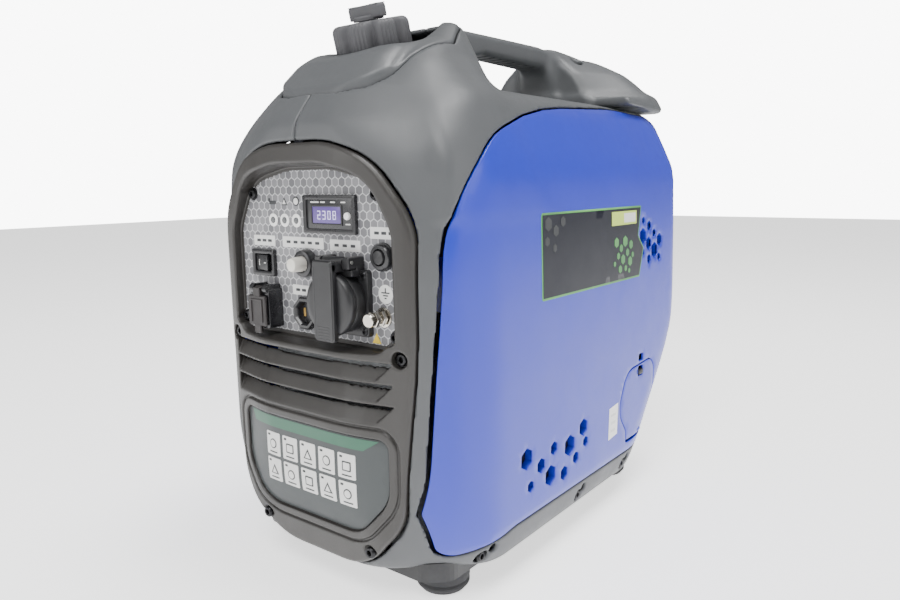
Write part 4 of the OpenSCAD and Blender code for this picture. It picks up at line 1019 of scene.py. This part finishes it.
b, c = Build(), Build()
for x in (-45, -31, -17):
    b.lathe([(2.7, 0), (5.2, 0), (5.3, 0.5), (4.9, 0.8), (2.9, 0.8), (2.7, 0.5)], (x, F, 298), (0, -1, 0), 32)
    c.lathe([(0.2, -5), (2.5, -5), (2.5, 0.9), (1.9, 1.7), (0.9, 2.1), (0.2, 2.15)], (x, F, 298),
            (0, -1, 0), 24)
b.make("lamp_rings", "white", slot="white_plastic")
c.make("lamp_lenses", "lamp", slot="lamp", nodes=["indicator_lamps"])

# printed symbols: drop, triangle and round mark above the lamps; earth symbol; plain tags (centre, size)
TAGS = ((-58, 281, 27, 8.5), (-11, 281, 48, 8.5), (36, 280.5, 32, 8.5), (76, 291, 27, 8.5),
        (-12, 243, 27, 8))
b = Build()
for x, ring in ((-45, rr(-49.5, 310.4, -41, 313.4, 1.4)), (-45, rr(-50.5, 312.6, -48.5, 315.4, 0.5))):
    b.front(ring, F + 0.2, F - 0.25, 0.05)
tri = np.array([(-34.6, 309.8), (-27.4, 309.8), (-31, 316.2)])
b.front(tri, F + 0.2, F - 0.25, 0.05)
b.front(circle(3.8, 32, (-17, 313)), F + 0.2, F - 0.25, 0.05)
for u, v, w in ((72, 247.6, 8), (73.5, 245.6, 5), (75, 243.6, 2)):
    b.front(rr(76 - w / 2, v, 76 + w / 2, v + 0.9, 0.3), F + 0.2, F - 0.5, 0.05)
b.front(rr(75.5, 248, 76.5, 251.6, 0.3), F + 0.2, F - 0.5, 0.05)
b.make("printed_marks", "ink", slot="panel")
b = Build()
b.front(np.array([(-33, 310.8), (-29, 310.8), (-31, 314.4)]), F + 0.1, F - 0.4, 0.05)
b.front(circle(2.6, 28, (-17, 313)), F + 0.1, F - 0.4, 0.05)
b.front(circle(7.0, 40, (76, 247)), F + 0.2, F - 0.25, 0.05)
for u, v, w, h in TAGS:
    b.front(rr(u - w / 2, v - h / 2, u + w / 2, v + h / 2, 0.8), F + 0.2, F - 0.3, 0.08)
b.make("panel_tags", "card", slot="white_plastic")
b = Build()
for u, v, w, h in TAGS:
    k = max(2, int(w / 9))
    for i in range(k):
        cx = u + (i - (k - 1) / 2) * (w - 6) / k
        b.front(rr(cx - 2.4, v - 1.1, cx + 2.4, v + 1.1, 0.5), F, F - 0.45, 0.05)
b.make("panel_tag_marks", "ink", slot="panel")
b = Build()
b.front(np.array([(61.6, 209.6), (70.4, 209.6), (66, 217.4)]), F + 0.2, F - 0.3, 0.05)
b.make("yellow_triangle", "yellow", slot="panel")

# ------------------------------------------------------------------ switch, breaker, reset
b = Build()
ring_frame(b, rr(-72, 252, -44, 274, 1.6), rr(-68, 256, -48, 270, 0.6), F + 4, F - 3.2, 0.8)
b.front(rr(-69.5, 254.5, -46.5, 271.5, 0.6), F + 15, F + 5.2, 0.1)
b.make("eco_frame", "gloss", slot="gloss_black", nodes=["eco_switch_body"])
b = Build()
b.slab(np.array([[-8.5, -1], [-8.5, -3.0], [-8.1, -3.3], [0, -3.7], [7.9, -6.0], [8.4, -5.8], [8.5, -4],
                 [4, 2.6], [-4, 2.6]])
       + [-58, F + 0.5], (0, 0, 0), (1, 0, 0), (0, 1, 0), 256.6, 269.4, 0.4, 0.4)
b.make("eco_rocker_key", "gloss", "eco_rocker", "gloss_black", ["eco_rocker"])
b = Build()
b.box((-62.6, F - 3.4, 260.5), (-62.0, F - 2.7, 265.5), 0.12, 1)
b.box((-54.5, F - 4.9, 262.6), (-51.5, F - 4.5, 263.4), 0.12, 1)
b.make("eco_marks", "card", "eco_rocker", "white_plastic")

b = Build()
b.lathe([(6.2, 14), (6.2, -6.4), (6.9, -7.2), (8.6, -7.4), (10.2, -6.6), (11, -4.8), (11, 0), (7.8, 0.05),
         (7.8, 22), (6.2, 14)],
        BREAKER_AT, (0, 1, 0), 44)
b.make("breaker_collar", "gloss", slot="gloss_black", nodes=["breaker_body"])
b = Build()
b.lathe([(0.3, 3.2), (5.8, 3.2), (5.9, -10), (5.6, -15.8), (4.9, -17.4), (3.2, -18.0), (0.3, -18.0)],
        BREAKER_AT, (0, 1, 0), 40)
b.make("breaker_key", "clear", "breaker_button", "clear_button", ["breaker_button"])
b = Build()
b.lathe([(5.7, 12), (5.7, -4.6), (6.3, -5.4), (8.6, -5.2), (10.2, -3.4), (10.5, -0.0), (6.8, 0.05),
         (6.8, 18), (5.7, 12)],
        RESET_AT, (0, 1, 0), 44)
b.make("reset_collar", "gloss", slot="gloss_black", nodes=["reset_button_body"])
b = Build()
b.lathe([(0.3, 4.6), (5.4, 4.6), (5.4, -5.6), (4.9, -6.6), (3.4, -7.0), (0.3, -7.0)], RESET_AT, (0, 1, 0), 36)
b.make("reset_key", "lid", "reset_button", "gloss_black", ["reset_button"])

# ------------------------------------------------------------------ sockets
b = Build()
b.lathe([(8.4, 14), (8.4, -1.2), (9.4, -3.0), (10.4, -4.0), (12.6, -4.0), (13.9, -2.6), (13.9, 0),
         (8.7, 0.05), (8.7, 16), (8.4, 14)],
        DC_AT, (0, 1, 0), 8, math.pi / 8)
b.lathe([(0.3, 15.5), (8.6, 15.5), (8.6, 2.2), (0.3, 2.2)], DC_AT, (0, 1, 0), 32)
b.make("dc_outlet", "gloss", slot="gloss_black", nodes=["dc_socket"], sharp=30)
b = Build()
b.box((-15.5, F + 1.4, 221.5), (-13.7, F + 2.3, 228.5), 0.3, 1)
b.box((-9, F + 1.4, 224.1), (-3.4, F + 2.3, 225.9), 0.3, 1)
b.make("dc_contacts", "brass", slot="nickel")

b = Build()
ring_frame(b, rr(-63, 211, -39, 243, 2.5), rr(-58, 217, -44, 235, 0.8), F, F - 14, 0.8)
b.box((-60, F + 0.1, 214), (-42, F + 16, 240), 1.2, 1)
for s in (-1, 1):
    b.lathe([(1.35, -2.5), (3.6, -2.5), (4, -2.1), (4, 2.1), (3.6, 2.5), (1.35, 2.5), (1.35, -2.5)],
            (-51 + 8 * s, F - 12, 243), (1, 0, 0), 30)
    b.box((-51 + 8 * s - 2.4, F - 12, 238), (-51 + 8 * s + 2.4, F - 0.2, 246.6), 0.8, 1)
b.make("port_case", "gloss", slot="gloss_black", nodes=["port_housing"])
b = Build()
b.box((-62, F - 17.4, 213), (-40, F - 14.5, 238), 2.2, 1)
b.box((-55, F - 17.4, 207), (-47, F - 14.6, 214.5), 1.2, 1)
b.box((-55, F - 17.2, 236), (-47, F - 13, 244.4), 1.0, 1)
b.lathe([(0.2, -4), (2.4, -4), (2.6, -3.7), (2.6, 3.7), (2.4, 4), (0.2, 4)], PORT_PIN_AT, (1, 0, 0), 24)
b.lathe([(0.2, -10.3), (1.1, -10.3), (1.1, 10.3), (0.2, 10.3)], PORT_PIN_AT, (1, 0, 0), 16)
for s in (-1, 1):
    b.box((-51 + s * 6.6 - 0.8, F - 18.2, 216), (-51 + s * 6.6 + 0.8, F - 17, 235), 0.4, 1)
b.box((-57, F - 18.2, 233.6), (-45, F - 17, 235), 0.4, 1)
b.make("port_flap_cover", "flap", "port_cover", "port_flap", ["port_cover"])

SX, SZ, SF = 38, 239, F - 14
MAINS_AT = (SX, F, SZ)
LID_PIN_AT = (SX, F - 13, SZ + 31)
b = Build()
flange = rounded([[SX - 25, SZ - 25, 3], [SX + 25, SZ - 25, 3], [SX + 25, SZ + 25, 3],
                  [SX - 25, SZ + 25, 3]], 10)
t = np.arctan2(flange[:, 1] - SZ, flange[:, 0] - SX)
inner = np.stack([SX + 21.5 * np.cos(t), SZ + 21.5 * np.sin(t)], 1)
ring_frame(b, flange, inner, F - 0.1, F - 5, 0.8)
b.lathe([(19.7, 3.5), (19.7, -13.2), (20.4, -14), (22, -14), (22.8, -13), (23, -4.6), (21.2, -1),
         (21.2, 14.8), (19.7, 14.8), (19.7, 3.5)],
        MAINS_AT, (0, 1, 0), 64)
b.lathe([(0.3, 14.6), (20.4, 14.6), (20.4, 3.7), (0.3, 3.7)], MAINS_AT, (0, 1, 0), 48)
b.box((SX - 18, SF + 0.2, SZ + 20.5), (SX + 18, F - 0.1, SZ + 25.6), 1.2, 1)
b.box((SX - 18, F - 8.6, SZ + 24), (SX + 18, F - 0.1, SZ + 29.8), 1.2, 1)
for s in (-1, 1):
    b.box((SX + s * 14.5 - 3.4, F - 16.8, SZ + 26), (SX + s * 14.5 + 3.4, F - 0.2, SZ + 34.8), 1.4, 1)
b.make("mains_socket_body", "lid", slot="lid", nodes=["ac_socket_base"])
b = Build()
for u, v in ((-1, -1), (1, -1), (-1, 1), (1, 1)):
    b.lathe([(0.2, -2), (2.9, -2), (2.9, 0.4), (2.3, 1.0), (1.3, 1.0), (1.2, 0.2), (0.2, 0.2)],
            (SX + 21 * u, F - 5.1, SZ + 21 * v), (0, -1, 0), 24)
b.make("mains_socket_screws", "screw", slot="screw", nodes=["ac_socket_base"])
b = Build()
for s in (-1, 1):
    b.lathe([(0.3, 0), (2.5, 0), (2.5, 0.5), (1.6, 0.6), (1.4, 0.1), (0.3, 0.1)],
            (SX + 9.5 * s, F + 3.6, SZ), (0, -1, 0), 24)
b.make("mains_contacts", "brass", slot="nickel")
b = Build()
b.lathe([(0.3, -14.5), (22.4, -14.5), (23.4, -15.1), (24, -16.4), (24, -19.4), (23.2, -21.2), (21.6, -22.2),
         (18, -22.4), (0.3, -22.4)],
        MAINS_AT, (0, 1, 0), 64)
b.box((SX - 10.4, F - 26.8, SZ - 27), (SX + 10.4, F - 20.6, SZ + 33), 2.6, 1)
b.box((SX - 10.4, F - 26.6, SZ + 24), (SX + 10.4, F - 12.2, SZ + 31.4), 1.6, 1)
b.lathe([(1.62, -10.5), (3.7, -10.5), (4, -10.1), (4, 10.1), (3.7, 10.5), (1.62, 10.5), (1.62, -10.5)],
        LID_PIN_AT, (1, 0, 0), 32)
for s in (-1, 1):
    b.box((SX + 8.8 * s - 0.9, F - 26.95, SZ - 24), (SX + 8.8 * s + 0.9, F - 26.4, SZ + 28), 0.3, 1)
for k in range(5):
    b.box((SX - 6, F - 26.95, SZ - 25.4 + 2.2 * k), (SX + 6, F - 26.3, SZ - 24.6 + 2.2 * k), 0.25, 1)
b.make("mains_lid", "lid", "ac_lid", "lid", ["ac_socket_lid"])
b = Build()
b.lathe([(0.2, -18), (1.3, -18), (1.5, -17.7), (1.5, 17.7), (1.3, 18), (0.2, 18)], LID_PIN_AT, (1, 0, 0), 24)
b.make("mains_lid_pin", "steel", slot="steel", nodes=["lid_hinge_pin"])

# earth terminal with its washers and nuts
b = Build()
b.lathe([(0.2, 13), (2.8, 13)] + [(2.8 - 0.35 * (i % 2), 12 - 0.6 * i) for i in range(46)] + [(0.2, -15.8)],
        EARTH_AT, (0, 1, 0), 32)
b.lathe([(2.9, 0), (7.4, 0), (7.5, -0.5), (7.4, -1.2), (2.9, -1.2), (2.9, 0)], EARTH_AT, (0, 1, 0), 40)
for y in (-2, -9):
    b.lathe([(2.9, y), (5.6, y), (6.0, y - 0.5), (6.0, y - 3.3), (5.6, y - 3.8), (2.9, y - 3.8), (2.9, y)],
            EARTH_AT, (0, 1, 0), 6)
b.lathe([(2.9, -13.4), (4.6, -13.4), (5.0, -14), (5.0, -17), (4.4, -17.6), (0.2, -17.6)], EARTH_AT,
        (0, 1, 0), 32)
b.make("earth_terminal", "nickel", slot="nickel", nodes=["ground_terminal"], sharp=25)

# ------------------------------------------------------------------ screws
def screw_head(b, at, axis, r, n=32):
    """Domed head with a round socket."""
    b.lathe([(0.2, -3), (r * 0.45, -3), (r * 0.45, 0), (r * 0.96, 0), (r, 0.5), (r * 0.97, r * 0.42),
             (r * 0.8, r * 0.6),
             (r * 0.52, r * 0.63), (r * 0.46, r * 0.56), (r * 0.42, r * 0.1), (0.2, r * 0.1)], at, axis, n)
b = Build()
for px, pz in PANEL_SCREWS:
    screw_head(b, (px, F, pz), (0, -1, 0), 4.4)
    b.lathe([(4.0, 0), (5.0, 0), (5.1, -0.3), (4.8, -0.6), (4.0, -0.6), (4.0, 0)], (px, F, pz), (0, 1, 0), 32)
b.make("panel_screw_heads", "screw", slot="screw", nodes=["panel_screws"])
b = Build()
for px, pz in BEZEL_SCREWS:
    screw_head(b, (px, bezel_y(px) - 0.2, pz), (0, -1, 0), 4.8)
b.make("bezel_screw_heads", "screw", slot="screw", nodes=["bezel_screws"])
b = Build()
for s in (-1, 1):
    for y in SILL:
        x = solve(0, np.array([float(y)]), np.array([36.0]))[0, 0] - 3.4
        screw_head(b, (s * x, y, 36), (s, 0, 0), 4.6)
b.make("sill_screw_heads", "screw", slot="screw", nodes=["sill_screws"])
b = Build()
for px, py in HANDLE_SCREWS:
    screw_head(b, (px, py, 428.2), (0, 0, 1), 4.8)
b.make("handle_screw_heads", "screw", slot="screw", nodes=["handle_screws"])

# ------------------------------------------------------------------ feet
FEET = [(x, y) for x in (-84, 84) for y in (-150, 146)]
b = Build()
for x, y in FEET:
    b.lathe([(4, 6), (4, 0.6), (4.6, 0), (17.4, 0), (18.6, 0.5), (19.2, 1.4), (19.6, 3.0), (21.2, 3.6),
             (21.8, 4.6),
             (21.8, 6.4), (21.2, 7.2), (20.8, 8.2), (21.4, 9.2), (22, 10.4), (22, 16.6), (21.4, 17.9),
             (4, 17.9), (4, 6)],
            (x, y, 0), (0, 0, 1), 64)
b.make("rubber_feet", "foot", slot="foot", nodes=["feet"])
b = Build()
for x, y in FEET:
    screw_head(b, (x, y, 6.2), (0, 0, -1), 3.6)
b.make("feet_screws", "screw", slot="screw", nodes=["feet"])

# ------------------------------------------------------------------ starter grip, rope and engine switch
b = Build()
b.slab(rr(-134, 208, -90, 220, 5.4), (0, 0, 0), (0, 1, 0), (0, 0, 1), -133.0, -121.2, 3.2, 2.2)
for k in range(7):
    b.slab(rr(-129.5 + 5.3 * k, 209.5, -127.5 + 5.3 * k, 218.5, 0.9), (0, 0, 0), (0, 1, 0), (0, 0, 1), -132,
           -133.6, 0.4)
b.lathe([(2.3, 0), (6.4, 0), (6.0, 3), (4.6, 5.8), (2.3, 6), (2.3, 0)], (-122, STARTER_Y, STARTER_Z),
        (1, 0, 0), 32)
b.make("starter_handle", "rubber", "starter_grip", "grip", ["recoil_grip"])
b = Build()
rope = [(2.0 - 0.22 * (i % 2), i * 1.0) for i in range(122)]
b.lathe([(0.2, 0)] + rope + [(0.2, 121.5)], (-116, STARTER_Y, STARTER_Z), (1, 0, 0), 16)
b.make("starter_rope_braid", "cord", "starter_grip", "cord", ["starter_rope"], sharp=80)
b = Build()
flange_o, flange_i = rounded([[-144.2, 192.8, 6], [-79.8, 192.8, 6], [-79.8, 235.2, 6], [-144.2, 235.2, 6]],
                             10), \
    rounded([[-141, 196, 4], [-83, 196, 4], [-83, 232, 4], [-141, 232, 4]], 10)
rings = []
for ring, x in ((flange_o, -133.4), (flange_o, -136.9), (offset(flange_o, 0.8), -137.5),
                (offset(flange_i, -0.8), -137.5),
                (flange_i, -136.6), (offset(flange_i, 0.8), -115.6), (offset(flange_i, 2.4), -114.6)):
    rings.append(np.stack([np.full(len(ring), x), ring[:, 0], ring[:, 1]], 1))
b.loft(rings, closed=False)
b.make("starter_recess_lining", "black", slot="dark_plastic", nodes=())
b = Build()
b.lathe([(23.8, -9), (23.8, -0.4), (24.4, 0.2), (25.6, 0.2), (26.2, -0.4), (26.2, -10.6), (4.2, -10.6),
         (4.2, -8.8), (23, -8.8), (23.8, -9)],
        (-137.4, SWITCH_Y, SWITCH_Z), (-1, 0, 0), 64)
b.make("switch_ring", "black", slot="dark_plastic", nodes=["switch_bezel"])
b = Build()
b.lathe([(0.3, -12), (3.9, -12), (3.9, -4.2), (19, -4.2), (19.8, -3.6), (20, -2.4), (20, -1.2),
         (19.4, -0.2), (18.2, 0.1), (0.3, 0.1)],
        (-134, SWITCH_Y, SWITCH_Z), (-1, 0, 0), 64)
b.slab(rounded([[-130, 126, 3], [-94, 127.4, 2.4], [-94, 132.6, 2.4], [-130, 134, 3]], 15), (0, 0, 0),
       (0, 1, 0), (0, 0, 1),
       -133.6, -137.0, 1.0)
b.make("engine_switch_dial", "lid", "engine_switch", "dark_plastic", ["engine_switch_knob"])
b = Build()
for k in range(3):
    a = math.radians(20 + 35 * k)
    b.slab(circle(1.1, 16, (SWITCH_Y + 30 * math.cos(a), SWITCH_Z + 30 * math.sin(a))), (0, 0, 0),
           (0, 1, 0), (0, 0, 1), -136.6, -137.4, 0.2)
b.make("engine_switch_dots", "white", slot="white_plastic")

# ------------------------------------------------------------------ materials of the CAD parts that stay
KEEP = {"base_tray": "black", "control_panel": "panel", "fuel_cap_liner": "rubber", "fuel_tank": "black",
        "engine_block": "cast",
        "cylinder_head": "cast", "spark_plug": "ceramic", "oil_filler_cap": "black", "muffler": "heat",
        "crankshaft": "steel", "flywheel_fan": "fan", "stator": "copper", "inverter_module": "cast",
        "air_cleaner": "black", "carburettor": "cast", "recoil_housing": "black", "recoil_pulley": "black",
        "rope_guide": "black", "engine_mounts": "rubber"}
for node, mat in KEEP.items():
    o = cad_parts[node]
    for s in o.material_slots:
        s.material = M[mat]
